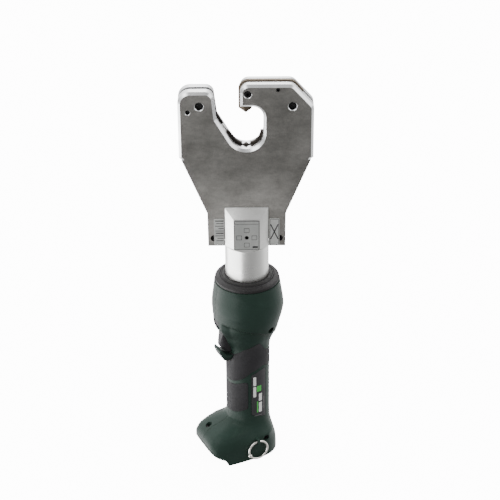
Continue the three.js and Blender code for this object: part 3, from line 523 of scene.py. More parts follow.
def inset_points(points, distance):
    """Moves each point of a closed loop inwards by the same distance from its edges."""
    loop = np.array(points)
    before = loop - np.roll(loop, 1, axis=0)
    after = np.roll(loop, -1, axis=0) - loop
    area = np.sum(loop[:, 0] * np.roll(loop[:, 1], -1) - np.roll(loop[:, 0], -1) * loop[:, 1])
    side = 1 if area > 0 else -1
    normals = []
    for edge in (before, after):
        length = np.maximum(np.hypot(edge[:, 0], edge[:, 1]), 1e-9)[:, None]
        normals.append(np.stack([-edge[:, 1], edge[:, 0]], axis=1) / length * side)
    middle = normals[0] + normals[1]
    middle /= np.maximum(np.linalg.norm(middle, axis=1), 1e-9)[:, None]
    reach = distance / np.maximum(np.sum(middle * normals[0], axis=1), 0.3)
    return loop + middle * reach[:, None]


def chamfered_slab(corners, face, inner, chamfer):
    """Slab from Y = inner to Y = face whose edge is chamfered on the face side."""
    rim = np.array(rounded(corners, 6))
    top = inset_points(rim, chamfer)
    n = len(rim)
    step = chamfer if face > inner else -chamfer
    vertices = [(x, inner, z) for x, z in rim]
    vertices += [(x, face - step, z) for x, z in rim]
    vertices += [(x, face, z) for x, z in top]
    faces = [range(n), range(3 * n - 1, 2 * n - 1, -1)]
    for a, b in ((0, n), (n, 2 * n)):
        faces += [(a + i, a + (i + 1) % n, b + (i + 1) % n, b + i) for i in range(n)]
    return mesh_object("slab", vertices, faces)


def head_plate(side):
    """Side -1 is the front plate, with the labels, and 1 the rear one."""
    face, inner = side * PLATE_FACE, side * PLATE_INNER
    blank = chamfered_slab(PLATE_OUTLINE, face, inner, CHAMFER)
    square = prism(SQUARE_OUTLINE, min(face, inner), max(face, inner))
    plate = add(blank, square)
    tools = []
    for x, z, radius in PIN_HOLES:
        tools.append(cross_rod(radius, *sorted((0, side * PAST_FACE)), x, z))
    for x, z, radius in COUNTERSINKS:
        tools.append(sink(side, radius, x, z))
    seat = sorted((side * HOOK_SEAT, side * PAST_FACE))
    tools.append(cross_rod(HOOK_HEAD_R, *seat, *HOOK_SCREW))
    tools.append(cross_rod(HOOK_SHANK_R, *sorted((0, side * (HOOK_SEAT + 0.5))), *HOOK_SCREW))
    tools.append(rod(RAM_ROOM_R, SLOT_TOP - 1, SLOT_TOP + RAM_STROKE + 4))
    reach = sorted((0, side * POCKET))
    if side < 0:
        tools.append(prism(RAM_POCKET, *reach))
    else:
        tools.append(prism(LEVER_POCKET, *reach))
        tools.append(prism([(-x, z) for x, z in reversed(LEVER_POCKET)], *reach))
    return tidy(cut(plate, *tools))


def sink(side, radius, x, z):
    """Countersink on the outer face of a plate."""
    wide, wide_r = side * (PLATE_FACE + 0.1), radius - 0.4
    deep, deep_r = side * (PLATE_FACE - 0.6), radius - 1.1
    if side > 0:
        return cross_cone(deep_r, wide_r, deep, wide, x, z)
    return cross_cone(wide_r, deep_r, wide, deep, x, z)


PIN_X, PIN_Z = 43.7, 394.4
LEG_BOLT = (32, 254.7)
HOOK_SCREW = (1.8, 406.4)
HOOK_DOWEL = (30, 411)
ARM_DOWEL = (-54.5, 388.3)
PIN_HOLES = [
    (-PIN_X, PIN_Z, 3.9), (PIN_X, PIN_Z, 3.9), (-LEG_BOLT[0], LEG_BOLT[1], 3.3),
    (LEG_BOLT[0], LEG_BOLT[1], 3.3), (*HOOK_DOWEL, 2), (*ARM_DOWEL, 2.2),
]
COUNTERSINKS = [
    (-PIN_X, PIN_Z, 5.0), (PIN_X, PIN_Z, 5.0), (*HOOK_SCREW, 4.4), (*ARM_DOWEL, 3.1),
]
RAM_POCKET = [
    (-11, SLOT_TOP - 1), (11, SLOT_TOP - 1), (11, 317), (31, 321.5), (53, 335), (53, 369.5),
    (37, 369.5), (19, 357), (15.5, 345.4), (-15.5, 345.4), (-19, 357), (-37, 369.5),
    (-53, 369.5), (-53, 335), (-31, 321.5), (-11, 317),
]
LEVER_POCKET = [(16, 336.5), (52, 336.5), (52, 402.5), (37, 402.5), (37, 396), (16, 346)]


def paint_edges(piece, side):
    """Second material on everything but the broad ground face."""
    for face in piece.data.polygons:
        face.material_index = 0 if face.normal.y * side > 0.9 else 1


for word, side in (("front", -1), ("rear", 1)):
    plate = head_plate(side)
    finish_piece(
        plate, f"plate_{word}", "head",
        "ground_plate milled_edge", [f"head_plate_{word}"], 25,
    )
    paint_edges(plate, side)

# ---------- pieces between the head plates ----------

MIDDLE_HALF = extent("anvil_plate")[1].y
THROAT_GUIDE = 13.7
NOSE_Z = 384
INDENTER_Z = 369
INDENTER_HALF = 3.5
GAP = 0.3


def throat_arc(radius, start, end, steps):
    """Points on a circle about the middle of the throat, in degrees from +X."""
    angles = [math.radians(start + (end - start) * i / steps) for i in range(steps + 1)]
    return [(radius * math.cos(a), THROAT_Z + radius * math.sin(a)) for a in angles]


def flipped_x(corners):
    return [(-corner[0], *corner[1:]) for corner in reversed(corners)]


def middle_plate(corners, holes=()):
    plate = prism(corners, -MIDDLE_HALF, MIDDLE_HALF)
    cut(plate, *[cross_rod(radius, -4, 4, x, z) for x, z, radius in holes])
    return bevel(tidy(plate), 0.25, 2)


ANVIL = [
    (0, NOSE_Z, 0.6), (5.6, NOSE_Z + 4.4, 0.8), (6, 394.6, 2.5), (14, 391.7, 2.5),
    (17.6, 385), (17.6, 381), (51, 381), (51, 400.5), (54.5, 405.6, 1),
    (44.6, HOOK_TOP + 1.1, 8), (-6.9, HOOK_TOP + 1.1, 9.5), (-6.9, NOSE_Z + 5.3, 0.8),
]
CHANNEL = INDENTER_HALF + GAP
CHANNEL_ANGLE = math.degrees(math.asin(CHANNEL / THROAT_GUIDE))
GUIDE_TOP = INDENTER_Z - CHANNEL
GUIDE_RIGHT = [
    (CHANNEL, 346.5), (12, 346.5), (19, 353), (26, 360), (26, GUIDE_TOP),
    *throat_arc(THROAT_GUIDE, -2, -90 + CHANNEL_ANGLE, 24),
]
GUIDE_LEFT = [
    (-CHANNEL, 346.5), *throat_arc(THROAT_GUIDE, -90 - CHANNEL_ANGLE, -149, 18),
    (-16.4, GUIDE_TOP), (-26, GUIDE_TOP), (-26, 360), (-19, 353), (-12, 346.5),
]
GUIDE_UPPER = [
    (-21, INDENTER_Z + CHANNEL, 0.6), (-27, 382.5, 4), (-29.6, 403), (-38.5, 403),
    (-38.5, 379), (-27.5, 379), (-27.5, INDENTER_Z + CHANNEL),
]
BLADE_LOW, BLADE_HIGH = INDENTER_Z - INDENTER_HALF, INDENTER_Z + INDENTER_HALF
SIDE_INDENTER = [
    (19.5, INDENTER_Z, 0.5), (22.1, BLADE_LOW), (38, BLADE_LOW), (38, 364), (49, 364),
    (49, 377), (38, 377), (38, BLADE_HIGH), (22.1, BLADE_HIGH),
]
RAM_INDENTER = [
    (-INDENTER_HALF, SLOT_TOP + 14), (INDENTER_HALF, SLOT_TOP + 14), (INDENTER_HALF, 349.6),
    (0, 352.2, 0.5), (-INDENTER_HALF, 349.6),
]
# Slot that the lever's end drives a side indenter by: half its width and its ends.
DRIVE_HALF = 2.9
DRIVE_LOW, DRIVE_HIGH = 370, 372.4

HOOK_HOLES = [(PIN_X, PIN_Z, 3.9), (*HOOK_SCREW, HOOK_SHANK_R), (*HOOK_DOWEL, 2)]
finish_piece(
    middle_plate(ANVIL, HOOK_HOLES), "hook_core", "head",
    "hardened", ["anvil_plate"],
)
for name, corners in (("right", GUIDE_RIGHT), ("left", GUIDE_LEFT), ("upper", GUIDE_UPPER)):
    finish_piece(
        middle_plate(corners), f"guide_{name}", "head",
        "blackened", [f"guide_plate_{name}"],
    )


def side_indenter(side):
    corners = SIDE_INDENTER if side > 0 else flipped_x(SIDE_INDENTER)
    piece = prism(corners, -MIDDLE_HALF, MIDDLE_HALF)
    x = side * PIN_X
    cut(
        piece,
        box(x - DRIVE_HALF, x + DRIVE_HALF, -4, 4, DRIVE_LOW, DRIVE_HIGH),
        cross_rod(DRIVE_HALF, -4, 4, x, DRIVE_LOW),
        cross_rod(DRIVE_HALF, -4, 4, x, DRIVE_HIGH),
    )
    return bevel(tidy(piece), 0.2, 2)


for name, side in (("left", -1), ("right", 1)):
    finish_piece(
        side_indenter(side), f"indenter_{name}", f"{name}_indenter",
        "bright_steel", [f"{name}_indenter"],
    )
finish_piece(
    middle_plate(RAM_INDENTER), "indenter_ram", "ram",
    "blackened", ["ram_indenter"],
)


def pin_profile(radius, y0, y1, chamfer=0.5):
    """Plain pin with chamfered ends, each with a small centre hole."""
    return [
        (0, y0 + 0.7), (0.8, y0), (radius - chamfer, y0), (radius, y0 + chamfer),
        (radius, y1 - chamfer), (radius - chamfer, y1), (0.8, y1), (0, y1 - 0.7),
    ]


PINS = [
    ("pivot_pin_left", (-PIN_X, PIN_Z), 3.6, 9),
    ("pivot_pin_right", (PIN_X, PIN_Z), 3.6, 9),
    ("hook_dowel", HOOK_DOWEL, 1.7, 9.5),
    ("arm_dowel", ARM_DOWEL, 1.9, 9.5),
]
for node, (x, z), radius, reach in PINS:
    finish_piece(
        turned_across(pin_profile(radius, -reach, reach), x, z), f"{node}_turned",
        "head", "black_steel", [node],
    )


def socket(radius, y0, y1, x, z):
    """Six-sided hole for a key."""
    return cross_rod(radius, y0, y1, x, z, 6)


for name, side in (("left", -1), ("right", 1)):
    x, z = side * LEG_BOLT[0], LEG_BOLT[1]
    bolt = turned_across(pin_profile(3, -10.8, 10.8), x, z)
    cut(bolt, socket(1.5, -12, -8, x, z))
    finish_piece(
        bolt, f"leg_bolt_{name}_turned", "head",
        "black_steel", [f"leg_bolt_{name}"],
    )

HOOK_SCREW_PROFILE = [
    (0, -11.6), (2.8, -11.6), (3.2, -11.2), (3.2, -7.8), (1.6, -7.8), (1.6, 6.6), (1.2, 7),
    (0, 7),
]
hook_screw = turned_across(HOOK_SCREW_PROFILE, *HOOK_SCREW)
cut(hook_screw, socket(1.6, -13, -9.4, *HOOK_SCREW))
finish_piece(hook_screw, "hook_screw_turned", "head", "black_steel", ["hook_screw"])

# ---------- cylinder ----------

TUBE_R = 21.6
TUBE_BOTTOM = 178
BLOCK_BOTTOM = 244
BLOCK_TOP = extent("cylinder")[1].z
BLOCK_HALF = SLOT_HALF - GAP
BLOCK_FACE = 21.5
BLOCK_FACE_HALF = 12.7
BLOCK_FACE_TOP = 280


def along_x(corners, x0, x1):
    """Outline in Y and Z, extruded along X."""
    return turned_to(prism(corners, -x1, -x0), turn(90, "Z"))


def upright(corners, z0, z1):
    """Outline in X and Y, extruded up."""
    return turned_to(prism(corners, -z1, -z0), turn(-90, "X"))


def cylinder_block():
    """Square block with chamfered corners, a sloped top edge and a round lower end."""
    side = BLOCK_FACE - (BLOCK_HALF - BLOCK_FACE_HALF)
    half = [(BLOCK_FACE_HALF, BLOCK_FACE), (BLOCK_HALF, side)]
    plan = [
        *half, *[(x, -y) for x, y in reversed(half)], *[(-x, -y) for x, y in half],
        *[(-x, y) for x, y in reversed(half)],
    ]
    block = upright(plan, BLOCK_BOTTOM, BLOCK_TOP)
    for way in (-1, 1):
        cut(block, along_x([
            (way * (BLOCK_FACE + 1), BLOCK_FACE_TOP - 1),
            (way * (BLOCK_FACE + 1), BLOCK_TOP + 3),
            (way * (PLATE_FACE - 3), BLOCK_TOP + 3),
        ], -30, 30))
    bottom = BLOCK_BOTTOM - 1
    scallop = [(0, bottom), (TUBE_R - 0.4, bottom), (28, 251), (28, 300), (0, 300)]
    common(block, lathe(scallop, 144))
    return bevel(tidy(block), 0.35, 2, 25)


TUBE_PROFILE = [
    (0, TUBE_BOTTOM), (20.8, TUBE_BOTTOM), (TUBE_R, TUBE_BOTTOM + 0.8), (TUBE_R, 186),
    (20, 186), (20, 188.4), (TUBE_R, 188.4), (TUBE_R, 243.6), (TUBE_R - 0.3, 244.2),
    (TUBE_R - 0.3, 246), (0, 246),
]


def cylinder():
    piece = add(
        cylinder_block(),
        lathe(TUBE_PROFILE, 144),
        bevel(box(-36.5, 36.5, -MIDDLE_HALF, MIDDLE_HALF, 248, 286), 0.3, 2),
    )
    return cut(
        piece,
        rod(16, 184, 270, sides=96),
        rod(6.3, 269, BLOCK_TOP + 1),
        rod(2, TUBE_BOTTOM - 1, 185),
        cross_rod(3.3, -4, 4, *LEG_BOLT),
        cross_rod(3.3, -4, 4, -LEG_BOLT[0], LEG_BOLT[1]),
    )


finish_piece(
    cylinder(), "cylinder_turned", "head", "turned_steel", ["cylinder"], 20,
)

# ---------- labels ----------

# Thickness of a label and of what is printed on it.
LABEL = 0.5
INK = 0.06


def film(x0, x1, z0, z1, face):
    """Thin sheet with round corners, its outer face at Y = -face - LABEL."""
    corners = [(x0, z0, 1), (x1, z0, 1), (x1, z1, 1), (x0, z1, 1)]
    return bevel(prism(corners, -face - LABEL, -face), 0.08, 1, 60)


def marks(name, strokes, face):
    """Bars of (x0, x1, z0, z1, degrees) printed in black on a face, as one piece."""
    vertices, faces = [], []
    for x0, x1, z0, z1, degrees in strokes:
        middle = Vector(((x0 + x1) / 2, 0, (z0 + z1) / 2))
        tilt = turn(degrees, "Y")
        start = len(vertices)
        for y in (-face, -face - INK):
            for x, z in ((x0, z0), (x1, z0), (x1, z1), (x0, z1)):
                point = tilt @ (Vector((x, 0, z)) - middle) + middle
                vertices.append((point.x, y, point.z))
        quads = [(0, 1, 2, 3), (4, 5, 6, 7), (0, 1, 5, 4), (1, 2, 6, 5), (2, 3, 7, 6), (3, 0, 4, 7)]
        faces += [tuple(start + i for i in quad) for quad in quads]
    piece = mesh_object(name, vertices, faces)
    return finish_piece(piece, name, "head", "mark_black")


def frame_bars(x0, x1, z0, z1, line):
    """Four bars round a rectangle."""
    return [
        (x0, x1, z0, z0 + line, 0), (x0, x1, z1 - line, z1, 0),
        (x0, x0 + line, z0, z1, 0), (x1 - line, x1, z0, z1, 0),
    ]


FRONT_FACE = BLOCK_FACE + GAP
SIDE_FACE = PLATE_FACE + GAP
finish_piece(
    film(-12.5, 12.5, 247.2, 279.4, FRONT_FACE), "film_front", "head",
    "label_film", ["label_front"],
)
for name, side in (("left", -1), ("right", 1)):
    x0, x1 = sorted((side * 22, side * 31.8))
    finish_piece(
        film(x0, x1, 246.8, 276.6, SIDE_FACE), f"film_{name}", "head",
        "label_side", [f"label_{name}"],
    )

front_strokes = frame_bars(-12.2, 12.2, 247.6, 279, 0.45)
front_strokes.append((-11, 11, 275.4, 275.7, 0))
for x, z in ((0, 268.6), (0, 252.6), (-7.4, 260.6), (7.4, 260.6)):
    front_strokes += frame_bars(x - 2.6, x + 2.6, z - 2.4, z + 2.4, 0.35)
front_strokes += [(-1.6, 1.6, 259, 262.2, 45), (-1.6, 1.6, 259, 262.2, 0)]
front_strokes += [(5.6, 10.8, 249.4, 251.2, 0)]
marks("front_marks", front_strokes, FRONT_FACE + LABEL)

left_strokes = []
for row in range(9):
    z = 273.6 - 2.7 * row
    width = (8.2, 7.4, 8.4, 5, 8.2, 7.8, 8.4, 6.2, 7.2)[row]
    left_strokes.append((-31 + 8.6 - width, -22.4, z, z + (1.0 if row in (0, 5) else 0.6), 0))
marks("left_marks", left_strokes, SIDE_FACE + LABEL)

right_strokes = frame_bars(22.6, 31.2, 247.6, 275.8, 0.35)
right_strokes += [(26.4, 27.4, 253, 271, 24), (26.4, 27.4, 253, 271, -24)]
marks("right_marks", right_strokes, SIDE_FACE + LABEL)

# ---------- handle form ----------

GRIP_R = 22.4
GRIP_TOP = 124
BULB_WIDEST = 174
FOOT_HALF = 30.5
TOE_REACH = 53
HEEL_REACH = 28
CREASE = 24
BODY_TOP = 202.5
SEAT_HEIGHT = 14
WALL = 2.6
SPLIT = 0.15

# Height and radius of the round body.
BODY_LEVELS = np.array([
    (-10, GRIP_R), (GRIP_TOP, GRIP_R), (131, 23.4), (136, 25.8), (141, 28.3), (150, 31.2),
    (156, 32.7), (165, 35), (BULB_WIDEST, 36), (182, 35.6), (192, 34.2), (BODY_TOP, 32.9),
    (220, 31),
])
# Height, and how much of the foot's plan the section takes towards the toe, at the
# sides and towards the heel.
FOOT_LEVELS = np.array([
    (-10, 1, 1, 1), (6, 1, 1, 1), (14, 1, 1, 0.93), (CREASE, 1, 1, 0.5), (26.5, 0.96, 0.84, 0.4),
    (30, 0.87, 0.6, 0.24), (34, 0.66, 0.38, 0.12), (36.5, 0.32, 0.28, 0.07),
    (38, 0.14, 0.21, 0.05), (43, 0.03, 0.08, 0.01), (50, 0, 0, 0), (220, 0, 0, 0),
])
FINE_STEP = 0.25
FINE = np.arange(-10, 220, FINE_STEP)
REACH = 24


def read(table, at, column=1):
    """Value in a column of a table, where its first column is at."""
    return np.interp(at, table[:, 0], table[:, column])


def smoothed(levels, column, sigma):
    """A column of levels by FINE's heights, averaged over about sigma millimetres."""
    values = read(levels, FINE, column)
    away = np.arange(-REACH, REACH + 1) * FINE_STEP
    weights = np.exp(-0.5 * (away / sigma) ** 2)
    padded = np.pad(values, REACH, mode="edge")
    return np.convolve(padded, weights / weights.sum(), "valid")


BODY_CURVE = smoothed(BODY_LEVELS, 1, 2.2)
TOE_CURVE = smoothed(FOOT_LEVELS, 1, 0.6)
SIDE_CURVE = smoothed(FOOT_LEVELS, 2, 0.4)
HEEL_CURVE = smoothed(FOOT_LEVELS, 3, 2.5)


def ease(t):
    t = np.clip(t, 0, 1)
    return t * t * (3 - 2 * t)


def superellipse(x, y, a, b, power):
    return (np.abs(x / a) ** power + np.abs(y / b) ** power) ** (-1 / power)


def foot_radius(angle):
    """The toe is nearly square in plan and the heel is round."""
    x, y = np.cos(angle), np.sin(angle)
    toe = superellipse(x, y, TOE_REACH, FOOT_HALF, 5)
    heel = superellipse(x, y, HEEL_REACH, FOOT_HALF, 2.3)
    return np.where(x > 0, toe, heel)


# By degrees round from the toe: height of the crease under the collar, how far it
# stands out, height of the lower edge of the bulb's sides and how deep it is cut in.
CREASE_AT = np.array([
    (0, 199.5, 0), (30, 199, 0), (54, 197.7, 0.5), (86, 188.7, 1.2), (116, 182, 1.3),
    (144, 174.8, 1.0), (180, 171, 0.5),
])
CUP_AT = np.array([
    (0, 161, 0), (16, 161, 0), (30, 160, 1), (71, 155.5, 1), (110, 146.3, 1),
    (135, 142, 0.55), (154, 141, 0), (180, 141, 0),
])
CUP_DEPTH = 3.2
# The bulb swells earlier over the trigger: from BROW_LOW, up to a radius of BROW_R.
BROW_LOW = 143
BROW_R = 35.4
# How far the foot's crease drops below its level, fading out towards DROP_TOP.
DROP_TOP = 38
CREASE_DROP = np.array([
    (0, 3), (20, 4.2), (30, 7.3), (38, 7.9), (43, 5.3), (57, 2.3), (72, 0), (90, -1.6), (109, -2.8),
    (119, -2.2), (150, 0), (180, 0),
])


def form_radius(angle, z):
    """Distance of the handle's surface from the long axis. Angles from the toe."""
    side = np.degrees(np.abs((angle + np.pi) % (2 * np.pi) - np.pi))
    body = np.interp(z, FINE, BODY_CURVE)
    facing = np.maximum(0, np.cos(angle))
    brow = ease((z - BROW_LOW) / 14) * facing * np.maximum(0, BROW_R - body) * 0.8
    body = body + np.where(z < BULB_WIDEST, brow, 0)

    crease = read(CREASE_AT, side)
    bulge = read(CREASE_AT, side, 2)
    rise = np.clip((z - crease + 16) / 16, 0, 1)
    fall = np.clip((BODY_TOP - z) / (BODY_TOP - crease), 0, 1)
    body = body + bulge * np.where(z < crease, rise**1.5, fall)

    edge = read(CUP_AT, side)
    depth = read(CUP_AT, side, 2) * CUP_DEPTH
    above = 1 - ease((z - edge) / 3.5)
    below = ease((z - GRIP_TOP) / (edge - GRIP_TOP))
    body = body - depth * np.where(z > edge, above, below)

    drop = read(CREASE_DROP, side)
    span = DROP_TOP - CREASE
    level = (z + drop * DROP_TOP / span) / (1 + drop / span)
    level = np.where(z > DROP_TOP, z, np.where(level < CREASE, np.minimum(z, CREASE), level))
    toeward = np.clip((75 - side) / 30, 0, 1)
    heelward = np.clip((side - 110) / 35, 0, 1)
    share = (
        np.interp(level, FINE, TOE_CURVE) * toeward
        + np.interp(level, FINE, HEEL_CURVE) * heelward
        + np.interp(level, FINE, SIDE_CURVE) * (1 - toeward - heelward)
    )
    return body + (foot_radius(angle) - body) * share


def form_solid(inset, bottom, top, sides=180, step=1.0):
    """The handle's outer form, made smaller all over by inset."""
    heights = np.linspace(bottom, top, max(2, round((top - bottom) / step) + 1))
    angles = np.arange(sides) * 2 * np.pi / sides
    radius = form_radius(angles[None, :], heights[:, None]) - inset
    x, y = radius * np.cos(angles), radius * np.sin(angles)
    z = np.broadcast_to(heights[:, None], x.shape)
    vertices = np.stack([x, y, z], axis=-1).reshape(-1, 3)
    rows = len(heights)
    faces = [tuple(range(sides)), tuple(range(rows * sides - 1, (rows - 1) * sides - 1, -1))]
    for i in range(rows - 1):
        for k in range(sides):
            m = (k + 1) % sides
            faces.append((i * sides + k, i * sides + m, (i + 1) * sides + m, (i + 1) * sides + k))
    return mesh_object("form", vertices, faces)


def copied(piece):
    twin = bpy.data.objects.new(piece.name, piece.data.copy())
    bpy.context.scene.collection.objects.link(twin)
    return twin


def grown(corners, distance):
    """The same outline, larger all round."""
    points = inset_points(np.array(rounded(corners)), -distance)
    return [tuple(point) for point in points]


GUARD_LIP = [
    (20.6, 110.6), (24, 111.8, 4), (31, 117.6, 7), (34.9, 127.4, 1.8), (33, 129.6, 1),
    (30.2, 125.6, 4), (26.8, 122.4, 4), (20.6, 121),
]
LIP_FRONT = [
    (-9.2, 140), (-9.2, 120.4, 5), (-5.6, 114, 4), (0, 111, 8), (5.6, 114, 4), (9.2, 120.4, 5),
    (9.2, 140),
]
UPPER_PAD = [
    (30, 122.4), (20.4, 122.4), (13, 131, 4), (-1, 139.6, 4), (-9.8, 126.5, 4), (-30, 117),
    (-30, 98), (-7, 108.6, 5), (6.5, 103, 5), (13, 96.4, 4), (30, 83),
]
LOWER_PAD = [
    (30, 79), (21, 86), (13, 90.4, 2), (9.6, 90.4, 2), (9.6, 58.6, 4), (22, 51), (30, 49),
]
NAME_PLATE = [
    (6.2, 50.3, 1), (6.2, 99.5, 1), (-6.9, 104.6, 2), (-10.4, 103.4, 1), (-10.4, 44.4, 1),
]
PAD_DEPTH = 1.4
PAD_PROUD = 0.2
BULB_SCREW = (-12.2, 153.5)
HEEL_SCREW = (-6.5, 22.6)
TOE_SCREW = (43, -6)
SCREW_HEAD = 3
SCREW_SHANK = 1.5
# The hole round the bulb's screw is wider from MOUTH_DEEP outwards.
MOUTH_R = 3.8
MOUTH_DEEP = 28
# Room round a moving piece of the handle.
PLAY = 0.4
# The battery bay is narrower below, between its rails.
BAY_BACK = -24
BAY_HALF = 22
BAY_WIDE = 26.5
RAIL_TOP = 5
# Farther out than any part of the handle.
OUTSIDE = 70
# Hole of the eye that holds the lanyard ring, and half its thickness.
EYE_HOLE = 1.75
EYE_HALF = 1.5
TRIGGER_HALF = 6.8
BUTTON_HALF = 5.2
RING_TOP = (4.4, 32.9, 23)
RING_R = 10.5

LAYER_LOW, LAYER_HIGH = 42, 146


def layer(outer, inner):
    """Shell of the handle's form between two insets, over the height of the grips."""
    core = form_solid(inner, LAYER_LOW - 2, LAYER_HIGH + 2)
    return cut(form_solid(outer, LAYER_LOW, LAYER_HIGH), core)


def patch(sheet, corners, near, far):
    """The part of a layer inside an outline seen from the side."""
    return common(copied(sheet), prism(corners, *sorted((near, far))))


def guard_lip():
    """Finger guard that curls up round the lower end of the trigger."""
    lip = common(prism(GUARD_LIP, -14, 14), along_x(LIP_FRONT, 15, 40))
    plan = [(8, -9.7), (8, 9.7), (29, 9.7, 6), (39, 5, 5), (39, -5, 5), (29, -9.7, 6)]
    common(lip, upright(plan, 100, 140))
    return bevel(tidy(lip), 0.7, 3, 40)


def housing_body():
    """Both halves of the housing as one hollow piece."""
    ceiling = SEAT_HEIGHT + 1
    body = form_solid(0, 0, BODY_TOP)
    bay = add(
        box(BAY_BACK, OUTSIDE, -BAY_HALF, BAY_HALF, -2, ceiling),
        box(BAY_BACK, OUTSIDE, -BAY_WIDE, BAY_WIDE, RAIL_TOP, ceiling),
    )
    cut(
        body,
        form_solid(WALL, ceiling + 2.4, BODY_TOP + 5, 90, 2.0),
        common(bay, form_solid(WALL, -3, ceiling + 1, 90, 2.0)),
        prism(TOE_CUT, -40, 40),
        box(17, 40, -TRIGGER_HALF - PLAY, TRIGGER_HALF + PLAY, 123, 151.4),
        box(25, 44, -BUTTON_HALF - PLAY, BUTTON_HALF + PLAY, 153, 162.4),
    )
    hollow = layer(-1, PAD_DEPTH + GAP)
    for corners in (UPPER_PAD, LOWER_PAD):
        for side in (-1, 1):
            cut(body, patch(hollow, grown(corners, GAP), -side, side * 40))
    bpy.data.objects.remove(hollow)
    plate_room = layer(-1, 1.3)
    cut(body, patch(plate_room, grown(NAME_PLATE, GAP), 0, 40))
    bpy.data.objects.remove(plate_room)
    bulb_boss = common(cross_rod(3.4, -26, 26, *BULB_SCREW), form_solid(1, 100, 190, 90, 2))
    heel_boss = common(cross_rod(3.8, -28.5, 28.5, *HEEL_SCREW), form_solid(1, 15.5, 90, 90, 1))
    lip = guard_lip()
    cut(lip, prism(TRIGGER_ROOM, -TRIGGER_HALF - PLAY, TRIGGER_HALF + PLAY))
    return add(body, lip, bulb_boss, heel_boss, box(-3, 30, -14, 14, SEAT_HEIGHT, ceiling + 1))


TOE_CUT = [
    (36, -1), (39.4, 6.5, 2), (45.5, 9.4, 2), (50, 12, 3), (53, 15, 2), (57.5, 20), (70, 20),
    (70, -1),
]
TRIGGER_ROOM = [(17, 123), (27.4, 124.6, 2), (33.2, 129.2, 3), (36, 137), (17, 137)]


def housing_half(body, side):
    """One half of the housing: side 1 is the left, with the ring and two screw heads."""
    half = common(copied(body), box(-60, 80, *sorted((side * SPLIT, side * 60)), -5, 230))
    head_room, shank_room = SCREW_HEAD + GAP, SCREW_SHANK + GAP
    if side > 0:
        eye = box(RING_TOP[0] - EYE_HALF, RING_TOP[0] + EYE_HALF, 28.6, 35.4, 19.6, 26.4)
        hole = turned_to(rod(EYE_HOLE, -5, 5), turn(90, "Y"))
        add(half, bevel(cut(bevel(eye, 0.6, 3), shifted(hole, *RING_TOP)), 0.2, 2, 60))
        for (x, z), deep in ((BULB_SCREW, 21), (HEEL_SCREW, 26)):
            cut(half, cross_rod(head_room, deep, 60, x, z), cross_rod(shank_room, -14, 60, x, z))
        return cut(half, cross_rod(MOUTH_R, MOUTH_DEEP, 60, *BULB_SCREW))
    x, y = TOE_SCREW
    add(half, common(rod(4, 16, 35, x, y), form_solid(1, 15, 100, 90, 1)))
    cut(half, rod(head_room, 27.5, 45, x, y), rod(shank_room, 14.8, 45, x, y))
    for x, z in (BULB_SCREW, HEEL_SCREW):
        cut(half, cross_rod(shank_room, -14, 10, x, z))
    return half


body = housing_body()
for name, side in (("left", 1), ("right", -1)):
    finish_piece(
        housing_half(body, side), f"shell_{name}", "handle",
        "green_plastic", [f"housing_{name}"], 28,
    )
bpy.data.objects.remove(body)

# ---------- grips and name plate ----------

skin = layer(-PAD_PROUD, PAD_DEPTH)
for word, corners in (("upper", UPPER_PAD), ("lower", LOWER_PAD)):
    for name, side in (("left", 1), ("right", -1)):
        pad = patch(skin, corners, side * SPLIT, side * 40)
        if word == "upper":
            room = prism(grown(GUARD_LIP, GAP), -14, 14)
            cut(pad, common(room, along_x(grown(LIP_FRONT, GAP), 15, 40)))
        finish_piece(
            bevel(tidy(pad, 0.2), 0.25, 2, 50), f"pad_{word}_{name}",
            "handle", "soft_grip", [f"grip_pad_{word}_{name}"], 40,
        )
bpy.data.objects.remove(skin)

plate_skin = layer(0, 1)
finish_piece(
    patch(plate_skin, NAME_PLATE, SPLIT, 40), "name_plate_skin", "handle",
    "soft_dark", ["name_plate"], 40,
)
bpy.data.objects.remove(plate_skin)

PLATE_MARKS = {
    "mark_white": [
        (1.4, 4.4, 86, 96.5), (1.4, 4.4, 72, 84.5), (-5.4, -1.8, 66, 75), (-5.4, -1.8, 52, 64),
    ],
    "mark_green": [(-4.6, 0.6, 78, 85), (-0.9, 0.5, 52, 66)],
    "mark_grey": [(-8.4, -7.4, 54, 70), (-5.4, 3.4, 48, 48.8)],
}
ink = layer(-0.1, 0.05)
for word, bars in PLATE_MARKS.items():
    pieces = []
    for x0, x1, z0, z1 in bars:
        corners = [(x0, z0, 0.4), (x1, z0, 0.4), (x1, z1, 0.4), (x0, z1, 0.4)]
        pieces.append(patch(ink, corners, 1, 40))
    finish_piece(add(*pieces), f"name_plate_{word}", "handle", word)
bpy.data.objects.remove(ink)

# ---------- screws of the housing ----------


def cap_screw(head_end, tip):
    """Profile of (radius, height) of a round-headed screw, the head's end highest."""
    seat = head_end - 2.4
    return [
        (0, tip), (SCREW_SHANK - 0.3, tip), (SCREW_SHANK, tip + 0.3), (SCREW_SHANK, seat),
        (SCREW_HEAD, seat), (SCREW_HEAD, head_end - 0.5), (SCREW_HEAD - 0.5, head_end),
        (0, head_end),
    ]


for name, (x, z), end in (("bulb", BULB_SCREW, 23.7), ("heel", HEEL_SCREW, 28.7)):
    screw = turned_across(cap_screw(end, -12), x, z)
    cut(screw, socket(1.3, end - 1.2, end + 2, x, z))
    finish_piece(
        screw, f"{name}_screw_turned", "handle", "black_steel", [f"{name}_screw"],
    )
screw = shifted(lathe(cap_screw(30.2, 15.2), 48), *TOE_SCREW)
cut(screw, rod(1.3, 29, 32, *TOE_SCREW, sides=6))
finish_piece(screw, "toe_screw_turned", "handle", "black_steel", ["toe_screw"])

# ---------- collar ----------

